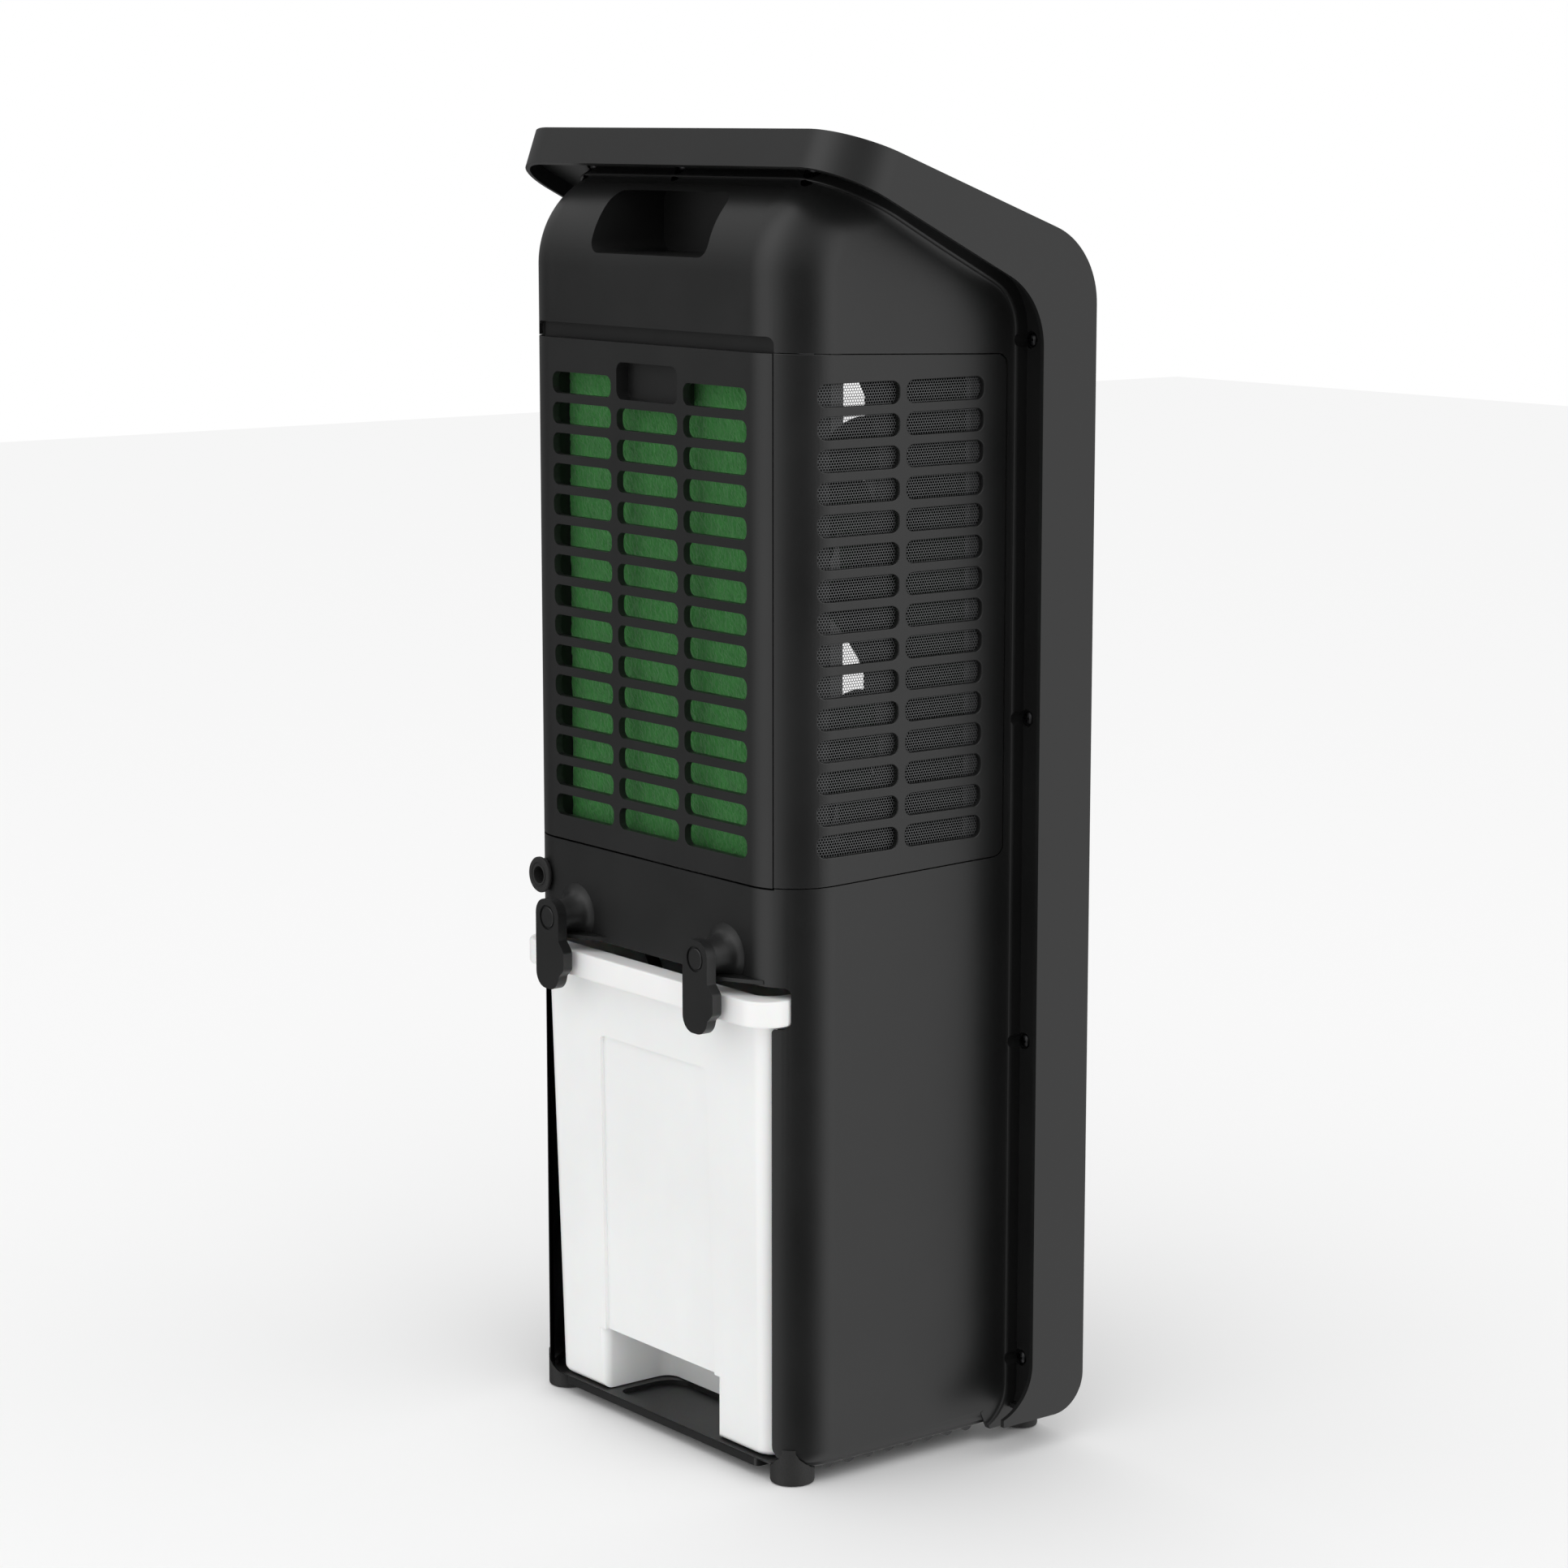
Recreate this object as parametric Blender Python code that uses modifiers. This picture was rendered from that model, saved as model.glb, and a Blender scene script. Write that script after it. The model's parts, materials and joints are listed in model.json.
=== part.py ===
"""Tower evaporative air cooler, built as separate parts. Metres, +Z up, front facing -Y."""

import math

import bmesh
import bpy
from mathutils import Matrix, Vector

# Overall size. The origin is on the floor, under the centre of the bounding box.
HEIGHT = 0.685
HALF_DEPTH = 0.098
SHELL_HALF = 0.144
BODY_HALF = 0.1172
WALL = 0.0025
GAP = 0.0004
REAR = HALF_DEPTH - 0.0196
ARC_STEP = math.radians(22.5)
SMALL_STEP = math.radians(90)
SMALL_R = 0.0065

# Body: rear corners, lean of the upper rear, and the flange that carries the front shell.
CORNER_R = 0.031
LEAN_Z = 0.614
LEAN_R = 0.050
LEAN_ANGLE = math.radians(62)
BODY_BOTTOM = 0.0085
SEAM_ANGLE = math.radians(27.5)
FLANGE_DEPTH = 0.151
FLANGE_THICK = 0.003
FLANGE_SLOPE = 0.4968
FLANGE_REAR_Z = 0.6756
FLANGE_REF_DEPTH = 0.0102

# Front shell: a bent tray with a tilted lid and a rim.
LID_TILT = math.radians(20.2)
LID_REAR_DEPTH = 0.0169
LID_CORNER_R = 0.033
FRONT_DEPTH = REAR + HALF_DEPTH
BEND_R = 0.0415
SHELL_BOTTOM = 0.0175
SHELL_BOTTOM_R = 0.020
SIDE_FOOT_DEPTHS = (0.1215, 0.146)
SIDE_FOOT_TOP = 0.0235
RIM_DEPTH = 0.141
RIM_REF_DEPTH = 0.1209
RIM_REF_Z = 0.6117

# Air openings. Slots repeat down the panels at one pitch.
SLOT_PITCH = 0.016
SLOT_HEIGHT = 0.0113
SLOT_ROWS = 15
SLOT_FIRST_Z = 0.548
PANEL_TOP = 0.5768
PANEL_BOTTOM = 0.3113
SIDE_TOP = (0.5775, 0.5725)
SIDE_BOTTOM = (0.3111, 0.3150)
SIDE_FRONT_DEPTH = 0.1402
GROOVE_TOP = 0.585

# Details of the rear housing.
BEAD_BACK = 0.0045
BEAD_PROUD = 0.0028
POCKET_HALF = 0.050
POCKET_Z = (0.6216, 0.6535)
POCKET_DEPTH = 0.048
BAY_HALF = 0.0997
BAY_TOP = 0.2608
BAY_DEPTH = 0.030
POST_X = (0.0932, 0.1022)
POST_DEPTH = (0.0085, 0.018)
HEADER_HALF = 0.101
HEADER_Z = (0.5855, 0.592)
HEADER_LIP = (0.006, 0.5765)
SHELF_Z = (0.592, 0.5945)
BOSS_R = (0.0105, 0.0078)
BOSS_PROUD = 0.0132

# Filter door and side panels.
REAR_COLUMNS = ((-0.0837, -0.0312), (-0.0262, 0.0263), (0.0313, 0.0838))
REAR_OPENING_DEPTH = 0.0056
SIDE_COLUMNS = (0.020, 0.075)
SIDE_SLOT_WIDTH = 0.050
SLOT_R = 0.0035
RECESS_Z = (0.5477, 0.5668)
RECESS_DEPTH = 0.0076
RECESS_WALL = 0.0019
PAD_HALF = 0.0861
PAD_DEPTH = (0.0117, 0.0445)
PAD_Z = (0.3189, 0.5666)
PAD_FRAME_DEPTH = (0.0037, 0.046)
PAD_FRAME_WALL = 0.005
MESH_DEPTH = 0.134
MESH_Z = (0.3165, 0.5715)
MESH_THICK = 0.0008

# Inside levels and depths behind the rear face.
DECK_Z = (0.296, 0.299)
DECK_DEPTH = 0.1225
SHROUD_DEPTH = (0.118, 0.121)
FAN_CENTRES_Z = (0.371, 0.514)
FAN_R = 0.067
DUCT_R = 0.0695
OUTLET_HALF = 0.085
OUTLET_Z = (0.304, 0.580)
LOUVRE_DEPTH = 0.160
VANE_DEPTH = 0.1355
LOUVRE_COUNT = 6
VANE_COUNT = 4

# Fans, their motors and the outlet.
DUCT_WALL = 0.0016
DUCT_REAR_DEPTH = 0.0945
MOTOR_R = 0.027
MOTOR_DEPTH = (0.060, 0.0905)
SPIDER_DEPTH = (0.0908, 0.0938)
SPIDER_REACH = (0.076, 0.066)
SPIDER_ARM = 0.0045
FAN_DEPTH = (0.0965, 0.1165)
BLADE_COUNT = 7
BLADE_SECTION = ((-0.5, 0.0), (-0.2, 0.0008), (0.5, 0.0), (0.5, -0.0012), (-0.2, -0.0008), (-0.5, -0.0012))
HUB_R = 0.019
SHAFT_R = 0.0028
PIN_R = 0.0016
PIN_HOLE_R = 0.0021
LINK_OFFSET = 0.0080
LINK_Z = (0.4390, 0.4450)
SWING_MOTOR_R = 0.0115
SWING_MOTOR_Z = (0.2865, 0.3000)

# Control panel on the lid.
PANEL_ALONG = 0.085
PANEL_HALF = (0.070, 0.028)
BUTTON_COUNT = 5
BUTTON_R = 0.0060
BUTTON_PITCH = 0.024
BUTTON_ALONG = 0.0125
DISPLAY_HALF = (0.026, 0.0085)
DISPLAY_ALONG = -0.0115
BOARD_HALF = (0.062, 0.022)

# Base, feet and screws.
BASE_INSET = 0.0040
BASE_Z = (0.0080, 0.0112)
BASE_RIM_Z = 0.0058
BASE_RIM_WIDTH = 0.0030
SCOOP = (0.0440, 0.0480, 0.0100)
SCOOP_Z = 0.0098
REAR_FOOT = (0.0999, 0.0162)
REAR_FOOT_R = (0.0105, 0.0113)
REAR_FOOT_HEIGHT = 0.0050
FRONT_FOOT = (0.1056, 0.1669)
FRONT_FOOT_R = (0.0086, 0.0090)
FRONT_FOOT_HEIGHT = 0.0285
RIB_COUNT = 9
RIB_PITCH = 0.0133
RIB_R = 0.0041
RIB_Z = 0.0097
RIB_HALF = 0.1085
SIDE_SCREWS_Z = (0.5795, 0.386, 0.216, 0.0445)
SCREW_X = 0.1245
SCREW_R = 0.0036

# Cord gland, pump, hose and drip tray.
GLAND_X = 0.0972
GLAND_Z = 0.2887
GLAND_R = 0.0097
GLAND_BARREL_R = 0.0086
GLAND_NECK_R = 0.0057
GLAND_HOLE_R = 0.0062
GLAND_BORE_R = 0.0038
GLAND_PROUD = 0.0030
GLAND_DISC = 0.0012
GLAND_NECK_DEPTH = 0.0130
PUMP_X = 0.060
PUMP_DEPTH = 0.105
PUMP_HALF = 0.019
PUMP_Z = (0.0183, 0.0561)
HOSE_R = 0.0040
HOSE_HOLE_R = 0.0052
HOSE_STEPS = 3
HOSE_POST = (0.088, 0.055)
TRAY_HALF = 0.1080
TRAY_DEPTH = (0.0195, 0.0485)
TRAY_Z = (0.5785, 0.5900)
TRAY_WALL = 0.0018
DRIP_COUNT = 7
DRIP_PITCH = 0.024
DRIP_R = 0.0016

# Water tank and its latches.
TANK_FLOOR = 0.0116
TANK_FRONT_DEPTH = 0.138
TANK_TOP_HALF = 0.0990
TANK_BOTTOM_HALF = 0.0955
TANK_TOP_PROUD = -0.0004
TANK_BOTTOM_PROUD = -0.0052
TANK_WALL = 0.0024
NOTCH_HALF = 0.0495
NOTCH_TOP = 0.0453
NOTCH_DEPTH = 0.048
NOTCH_R = 0.006
TANK_PANEL_HALF = (0.0490, 0.0465)
TANK_PANEL_TOP = 0.2093
TANK_PANEL_DEPTH = 0.0024
TANK_TOP = 0.255
RIM_HEIGHT = 0.0141
TANK_RIM_HALF = 0.1068
TANK_RIM_PROUD = 0.0099
LATCH_X = 0.0656
LATCH_Z = 0.2725
LATCH_THICK = 0.0056


def at_depth(depth):
    """World Y of a distance behind the body's rear face."""
    return REAR - depth


DOOR_PIVOT = (0, at_depth(0.003), PANEL_BOTTOM)
PUMP = (PUMP_X, at_depth(PUMP_DEPTH))


def clear_scene():
    for item in list(bpy.data.objects):
        bpy.data.objects.remove(item, do_unlink=True)


def collection(name):
    made = bpy.data.collections.new(name)
    bpy.context.scene.collection.children.link(made)
    return made


clear_scene()
PARTS = collection("air_cooler")
CUTTERS = collection("cutters")


def material(name, colour, roughness, metallic=0.0):
    made = bpy.data.materials.new(name)
    made.use_nodes = True
    shader = made.node_tree.nodes["Principled BSDF"]
    shader.inputs["Base Color"].default_value = (*colour, 1.0)
    shader.inputs["Roughness"].default_value = roughness
    shader.inputs["Metallic"].default_value = metallic
    return made


BLACK = material("black_plastic", (0.022, 0.022, 0.022), 0.45)
GRILLE = material("grille_plastic", (0.024, 0.024, 0.024), 0.45)
DARK = material("inner_plastic", (0.012, 0.013, 0.013), 0.6)
MESH = material("dust_mesh", (0.03, 0.03, 0.03), 0.7)
WHITE = material("white_plastic", (0.86, 0.86, 0.85), 0.4)
GREEN = material("green_pad", (0.02, 0.16, 0.025), 0.9)
RUBBER = material("rubber", (0.012, 0.012, 0.012), 0.8)
STEEL = material("steel", (0.55, 0.55, 0.56), 0.35, 1.0)
DARK_STEEL = material("dark_steel", (0.06, 0.06, 0.062), 0.4, 1.0)
BOARD = material("circuit_board", (0.02, 0.12, 0.05), 0.5)
WINDOW = material("display_window", (0.01, 0.01, 0.012), 0.1)
GREY = material("grey_plastic", (0.25, 0.25, 0.26), 0.5)


# ---------------------------------------------------------------- outlines and solids


def arc(centre, radius, start, end):
    """Points of an arc, ends included."""
    step = SMALL_STEP if radius < SMALL_R else ARC_STEP
    steps = max(1, math.ceil(abs(end - start) / step - 0.001))
    angles = [start + (end - start) * i / steps for i in range(steps + 1)]
    return [(centre[0] + radius * math.cos(a), centre[1] + radius * math.sin(a)) for a in angles]


def rounded(corners):
    """A closed outline from (x, y, radius) corners, each rounded by its radius."""
    points = []
    for i, (x, y, radius) in enumerate(corners):
        here = Vector((x, y))
        if radius == 0:
            points.append((x, y))
            continue
        before = (Vector(corners[i - 1][:2]) - here).normalized()
        after = (Vector(corners[(i + 1) % len(corners)][:2]) - here).normalized()
        half = before.angle(after) / 2
        centre = here + (before + after).normalized() * radius / math.sin(half)
        first = here + before * radius / math.tan(half) - centre
        last = here + after * radius / math.tan(half) - centre
        start = math.atan2(first.y, first.x)
        sweep = (math.atan2(last.y, last.x) - start + math.pi) % (2 * math.pi) - math.pi
        points += arc(centre, radius, start, start + sweep)
    return points


def box_outline(low, high, radius=0.0):
    corners = [(low[0], low[1]), (high[0], low[1]), (high[0], high[1]), (low[0], high[1])]
    return rounded([(x, y, radius) for x, y in corners])


PLANES = {
    "XY": Matrix.Identity(4),
    "XZ": Matrix(((1, 0, 0, 0), (0, 0, 1, 0), (0, 1, 0, 0), (0, 0, 0, 1))),
    "YZ": Matrix(((0, 0, 1, 0), (1, 0, 0, 0), (0, 1, 0, 0), (0, 0, 0, 1))),
}


def solid(outlines, plane, low, high, matrix=None):
    """A mesh of flat outlines in a plane, extruded from low to high along its normal."""
    curve = bpy.data.curves.new("outline", "CURVE")
    curve.dimensions = "2D"
    curve.fill_mode = "BOTH"
    curve.extrude = (high - low) / 2
    for points in outlines:
        spline = curve.splines.new("POLY")
        spline.points.add(len(points) - 1)
        spline.use_cyclic_u = True
        for point, (x, y) in zip(spline.points, points):
            point.co = (x, y, 0, 1)
    holder = bpy.data.objects.new("outline", curve)
    CUTTERS.objects.link(holder)
    bpy.context.view_layer.update()
    shape = bpy.data.meshes.new_from_object(holder.evaluated_get(bpy.context.evaluated_depsgraph_get()))
    bpy.data.objects.remove(holder, do_unlink=True)
    shape.transform(Matrix.Translation((0, 0, (low + high) / 2)))
    shape.transform(PLANES[plane])
    if PLANES[plane].to_3x3().determinant() < 0:
        shape.flip_normals()
    if matrix:
        shape.transform(matrix)
    clean(shape)
    return shape


def clean(shape, distance=0.00001):
    work = bmesh.new()
    work.from_mesh(shape)
    bmesh.ops.remove_doubles(work, verts=work.verts, dist=distance)
    bmesh.ops.recalc_face_normals(work, faces=work.faces)
    work.to_mesh(shape)
    work.free()


def box(low, high):
    return solid([box_outline(low[:2], high[:2])], "XY", low[2], high[2])


def cylinder(centre, radius, low, high, axis="Z", sides=24, top_radius=None):
    """A round bar or cone between two levels along an axis through the centre."""
    shape = bpy.data.meshes.new("cylinder")
    work = bmesh.new()
    end = radius if top_radius is None else top_radius
    bmesh.ops.create_cone(work, cap_ends=True, segments=sides, radius1=radius, radius2=end, depth=high - low)
    work.to_mesh(shape)
    work.free()
    turn = {"Z": Matrix.Identity(4), "Y": Matrix.Rotation(-math.pi / 2, 4, "X"),
            "X": Matrix.Rotation(math.pi / 2, 4, "Y")}[axis]
    along = Vector({"X": (1, 0, 0), "Y": (0, 1, 0), "Z": (0, 0, 1)}[axis])
    shape.transform(Matrix.Translation(Vector(centre) + along * (low + high) / 2) @ turn)
    return shape


def cutter(shape):
    item = bpy.data.objects.new("cutter", shape)
    CUTTERS.objects.link(item)
    item.hide_render = True
    item.display_type = "WIRE"
    return item


def combine(shape, operation, *others):
    """The mesh after joining, cutting or intersecting it with each of the others."""
    holder = bpy.data.objects.new("work", shape)
    CUTTERS.objects.link(holder)
    used = [cutter(other) for other in others]
    for item in used:
        step = holder.modifiers.new(operation, "BOOLEAN")
        step.operation = operation
        step.solver = "EXACT"
        step.object = item
    bpy.context.view_layer.update()
    made = bpy.data.meshes.new_from_object(holder.evaluated_get(bpy.context.evaluated_depsgraph_get()))
    for item in [holder, *used]:
        bpy.data.objects.remove(item, do_unlink=True)
    return made


def cut(shape, *others):
    return combine(shape, "DIFFERENCE", *others)


def join(shape, *others):
    return combine(shape, "UNION", *others)


def common(shape, *others):
    return combine(shape, "INTERSECT", *others)


def part(name, shape, look, origin=None, bevel=0.0):
    """One finished sub-part, with its own copy of the material and its origin on its axis."""
    own = look.copy()
    own.name = name
    shape.name = name
    shape.materials.clear()
    shape.materials.append(own)
    item = bpy.data.objects.new(name, shape)
    PARTS.objects.link(item)
    if origin:
        shape.transform(Matrix.Translation(-Vector(origin)))
        item.location = origin
    shape.shade_smooth()
    shape.set_sharp_from_angle(angle=math.radians(35))
    if bevel:
        step = item.modifiers.new("edges", "BEVEL")
        step.width = bevel
        step.segments = 1
        step.limit_method = "ANGLE"
        step.angle_limit = math.radians(50)
    return item


# ---------------------------------------------------------------- shared shapes


def plan_outline(inset, front_depth):
    """The body seen from above: rounded rear corners, square front."""
    half = BODY_HALF - inset
    rear = at_depth(inset)
    radius = CORNER_R - inset
    front = at_depth(front_depth)
    return rounded([(-half, front, 0), (half, front, 0), (half, rear, radius), (-half, rear, radius)])


def flange_z(depth, lift=0.0):
    """Height of the flange's lower face on the slanted top."""
    drop = (depth - FLANGE_REF_DEPTH) * FLANGE_SLOPE
    return FLANGE_REAR_Z - drop + lift / math.cos(math.atan(FLANGE_SLOPE))


def body_profile(inset):
    """The body seen from the side, up to the middle of the flange."""
    lift = FLANGE_THICK / 2 - inset
    front = FLANGE_DEPTH + FLANGE_THICK / 2 - inset
    lean = arc((at_depth(LEAN_R), LEAN_Z), LEAN_R - inset, 0, LEAN_ANGLE)
    last_depth = REAR - lean[-1][0]
    top = rounded([
        (at_depth(last_depth), flange_z(last_depth, lift), 0),
        (at_depth(front), flange_z(front, lift), 0.031),
        (at_depth(front), BODY_BOTTOM + inset, 0),
    ])
    return [(at_depth(inset), BODY_BOTTOM + inset), *lean, *top]


def lid_matrix(along=0.0, lift=0.0):
    """Frame of the slanted lid: local -Y runs down the slope, local Z is its outward normal."""
    origin = Matrix.Translation((0, at_depth(LID_REAR_DEPTH), HEIGHT))
    return origin @ Matrix.Rotation(LID_TILT, 4, "X") @ Matrix.Translation((0, -along, lift))


def lid_prism(inset):
    """The lid's rounded outline swept along the lid's normal."""
    half = SHELL_HALF - inset
    radius = LID_CORNER_R - inset
    corners = [(-half, -0.9, 0), (half, -0.9, 0), (half, -inset, radius), (-half, -inset, radius)]
    return solid([rounded(corners)], "XY", -0.75, 0.2, lid_matrix())


def lid_z(depth, inset=0.0):
    """Height of the lid's outer plane, or of a plane inset below it."""
    return HEIGHT - (depth - LID_REAR_DEPTH) * math.tan(LID_TILT) - inset / math.cos(LID_TILT)


def slot_outlines(columns, rows, first_z, skip=()):
    """Rounded slots in a grid; columns are (low, high) spans."""
    made = []
    for row in range(rows):
        low = first_z - row * SLOT_PITCH
        for column, (start, end) in enumerate(columns):
            if (row, column) not in skip:
                made.append(box_outline((start, low), (end, low + SLOT_HEIGHT), SLOT_R))
    return made


def side_strip(inset, thick, front_depth, seam_extra=0.0):
    """Plan of one side panel: round the rear corner from the seam, then straight to the front."""
    centre = (BODY_HALF - CORNER_R, at_depth(CORNER_R))
    start = math.pi / 2 - SEAM_ANGLE + seam_extra
    outer = arc(centre, CORNER_R - inset, start, 0)
    inner = arc(centre, CORNER_R - inset - thick, 0, start)
    front = at_depth(front_depth)
    half = BODY_HALF - inset
    return [*outer, (half, front), (half - thick, front), *inner]


def side_face(grow):
    """Outline of the side panel seen from the side."""
    rear = REAR + 0.01
    front = at_depth(SIDE_FRONT_DEPTH + grow)
    return rounded([
        (rear, SIDE_TOP[0] + grow, 0),
        (front, SIDE_TOP[1] + grow, 0.006),
        (front, SIDE_BOTTOM[1] - grow, 0.006),
        (rear, SIDE_BOTTOM[0] - grow, 0),
    ])


def mirrored(shape):
    shape.transform(Matrix.Scale(-1, 4, (1, 0, 0)))
    shape.flip_normals()
    return shape


def one_side(build, side):
    """A shape built for +X, mirrored for side -1."""
    shape = build()
    return shape if side > 0 else mirrored(shape)


SIDES = {"left": -1, "right": 1}


# ---------------------------------------------------------------- front shell


def front_shell():
    lid_line = [(at_depth(-0.03), lid_z(-0.03), 0), (at_depth(FRONT_DEPTH), lid_z(FRONT_DEPTH), BEND_R)]
    rim_z = RIM_REF_Z + (RIM_REF_DEPTH - RIM_DEPTH) * FLANGE_SLOPE
    outer = rounded([
        *lid_line,
        (at_depth(FRONT_DEPTH), SHELL_BOTTOM, SHELL_BOTTOM_R),
        (at_depth(0.112), SHELL_BOTTOM, 0),
        (at_depth(0.112), SHELL_BOTTOM + WALL, 0),
        (at_depth(RIM_DEPTH), SHELL_BOTTOM + WALL, 0.028),
        (at_depth(RIM_DEPTH), rim_z, 0.040),
        (at_depth(-0.03), RIM_REF_Z + (RIM_REF_DEPTH + 0.03) * FLANGE_SLOPE, 0),
    ])
    inner = rounded([
        (at_depth(-0.05), lid_z(-0.05, WALL), 0),
        (at_depth(FRONT_DEPTH - WALL), lid_z(FRONT_DEPTH - WALL, WALL), BEND_R - WALL),
        (at_depth(FRONT_DEPTH - WALL), SHELL_BOTTOM + WALL, SHELL_BOTTOM_R - WALL),
        (at_depth(-0.05), SHELL_BOTTOM + WALL, 0),
    ])
    shape = common(solid([outer], "YZ", -SHELL_HALF, SHELL_HALF), lid_prism(0))
    hollow = common(solid([inner], "YZ", -SHELL_HALF + WALL, SHELL_HALF - WALL), lid_prism(WALL))
    outlet = solid([box_outline((-OUTLET_HALF, OUTLET_Z[0]), (OUTLET_HALF, OUTLET_Z[1]), 0.012)], "XZ",
                   at_depth(FRONT_DEPTH + 0.01), at_depth(FRONT_DEPTH - 0.01))
    panel = solid([box_outline((-PANEL_HALF[0], -PANEL_HALF[1]), PANEL_HALF, 0.006)], "XY", -0.01, 0.01,
                  lid_matrix(PANEL_ALONG))
    under_body = box((-BODY_HALF - 0.001, at_depth(0.1555), 0), (BODY_HALF + 0.001, at_depth(0.1), 0.0202))
    foot_half = SHELL_HALF - WALL
    side_feet = box((-foot_half, at_depth(SIDE_FOOT_DEPTHS[1]), 0), (foot_half, at_depth(0.1), SIDE_FOOT_TOP))
    ends = box((-0.2, at_depth(SIDE_FOOT_DEPTHS[0]), 0), (0.2, at_depth(0.1), SIDE_FOOT_TOP))
    part("front_shell", cut(shape, hollow, outlet, panel, under_body, side_feet, ends), BLACK)


# ---------------------------------------------------------------- rear housing


def flange_band(low, high, front, back):
    """A strip along the slanted top and down the front, between two lifts off the flange's face."""
    def path(lift, depth):
        return rounded([
            (at_depth(0.0), flange_z(0.0, lift), 0),
            (at_depth(depth), flange_z(depth, lift), 0.033),
            (at_depth(depth), low, 0),
        ])
    return [*path(high, FLANGE_DEPTH + front), *reversed(path(back, FLANGE_DEPTH + back))]


def housing_flange():
    band = flange_band(SHELL_BOTTOM + WALL + GAP, FLANGE_THICK, FLANGE_THICK, 0.0)
    limit = SHELL_HALF - WALL - GAP
    flange = common(solid([band], "YZ", -limit, limit), lid_prism(WALL + GAP))
    opening = box((WALL - BODY_HALF, at_depth(0.17), 0.022), (BODY_HALF - WALL, at_depth(0.14), 0.583))
    return cut(flange, opening)


def housing_bead():
    """The narrow ridge where the body meets the flange."""
    band = flange_band(SHELL_BOTTOM + WALL + GAP, -BEAD_BACK + 0.0022, -BEAD_BACK + 0.0022, -BEAD_BACK)
    half = BODY_HALF + BEAD_PROUD
    ridge = solid([band], "YZ", -half, half)
    inside = common(solid([plan_outline(0.001, 0.2)], "XY", 0, 0.7),
                    solid([body_profile(0.001)], "YZ", -0.2, 0.2))
    lean_depth = 0.0262 - BEAD_PROUD
    rear = at_depth(lean_depth)
    corners = [(-half, at_depth(0.2), 0), (half, at_depth(0.2), 0), (half, rear, 0.027), (-half, rear, 0.027)]
    ridge = common(ridge, solid([rounded(corners)], "XY", 0, 0.7))
    return cut(ridge, inside)


def rear_housing():
    profile = body_profile(0)
    outer = common(solid([profile], "YZ", -0.2, 0.2), solid([plan_outline(0, 0.2)], "XY", 0, 0.7))
    lean = arc((at_depth(LEAN_R), LEAN_Z), LEAN_R - WALL, 0, LEAN_ANGLE)
    last_depth = REAR - lean[-1][0]
    lift = -0.0008
    front = 0.2
    inner = [
        (at_depth(WALL), BODY_BOTTOM - 0.01),
        *lean,
        (at_depth(last_depth), flange_z(last_depth, lift)),
        (at_depth(front), flange_z(front, lift)),
        (at_depth(front), BODY_BOTTOM - 0.01),
    ]
    cavity = common(solid([inner], "YZ", -0.2, 0.2), solid([plan_outline(WALL, 0.25)], "XY", 0, 0.7))
    deck = box((-0.13, at_depth(DECK_DEPTH), DECK_Z[0]), (0.13, REAR + 0.01, DECK_Z[1]))
    pocket_box = box((-POCKET_HALF - WALL, at_depth(POCKET_DEPTH + WALL), POCKET_Z[0] - WALL),
                     (POCKET_HALF + WALL, REAR + 0.01, POCKET_Z[1] + WALL))
    post_front, post_rear = at_depth(POST_DEPTH[1]), at_depth(POST_DEPTH[0])
    bar = box((-HEADER_HALF, post_rear, HEADER_Z[0]), (HEADER_HALF, REAR + 0.001, HEADER_Z[1]))
    lip = box((-HEADER_HALF, post_rear, HEADER_LIP[1]), (HEADER_HALF, at_depth(HEADER_LIP[0]), HEADER_Z[1]))
    header = join(bar, lip)
    posts = [box((low, post_front, DECK_Z[0] + 0.001), (high, post_rear, HEADER_Z[1] + 0.008))
             for low, high in (POST_X, (-POST_X[1], -POST_X[0]))]
    shelf = box((-0.13, post_front, SHELF_Z[0]), (0.13, REAR + 0.01, SHELF_Z[1]))
    cavity = cut(cavity, deck, pocket_box, header, *posts, shelf)
    shape = cut(outer, cavity)
    shape = join(shape, housing_flange(), housing_bead(), *latch_bosses())
    pocket = solid([box_outline((-POCKET_HALF, POCKET_Z[0]), (POCKET_HALF, POCKET_Z[1]), 0.006)], "XZ",
                   at_depth(POCKET_DEPTH), REAR + 0.02)
    openings = [pocket, rear_opening()]
    openings += [one_side(side_opening, side) for side in SIDES.values()]
    bay = solid([bay_outline()], "XZ", at_depth(BAY_DEPTH), REAR + 0.02)
    hose_hole = cylinder((HOSE_POST[0], at_depth(HOSE_POST[1]), 0), HOSE_HOLE_R, 0.29, 0.305, sides=12)
    gland_hole = cylinder((GLAND_X, 0, GLAND_Z), GLAND_HOLE_R, at_depth(0.016), REAR + 0.01, "Y", 16)
    shape = cut(shape, *openings, bay, hose_hole, gland_hole)
    part("rear_housing", shape, BLACK)


def bay_outline():
    """Rear opening for the tank, wider where the tank's rim passes."""
    wide = TANK_RIM_HALF + 0.0012
    low = TANK_TOP - RIM_HEIGHT - 0.0014
    half = BAY_HALF
    return [(-half, 0.0), (half, 0.0), (half, low), (wide, low), (wide, BAY_TOP), (-wide, BAY_TOP),
            (-wide, low), (-half, low)]


def rear_opening():
    half = (BODY_HALF - CORNER_R) + (CORNER_R + 0.001) * math.sin(SEAM_ANGLE)
    outline = box_outline((-half, PANEL_BOTTOM - 0.001), (half, GROOVE_TOP), 0.0)
    return solid([outline], "XZ", at_depth(REAR_OPENING_DEPTH), REAR + 0.02)


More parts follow.
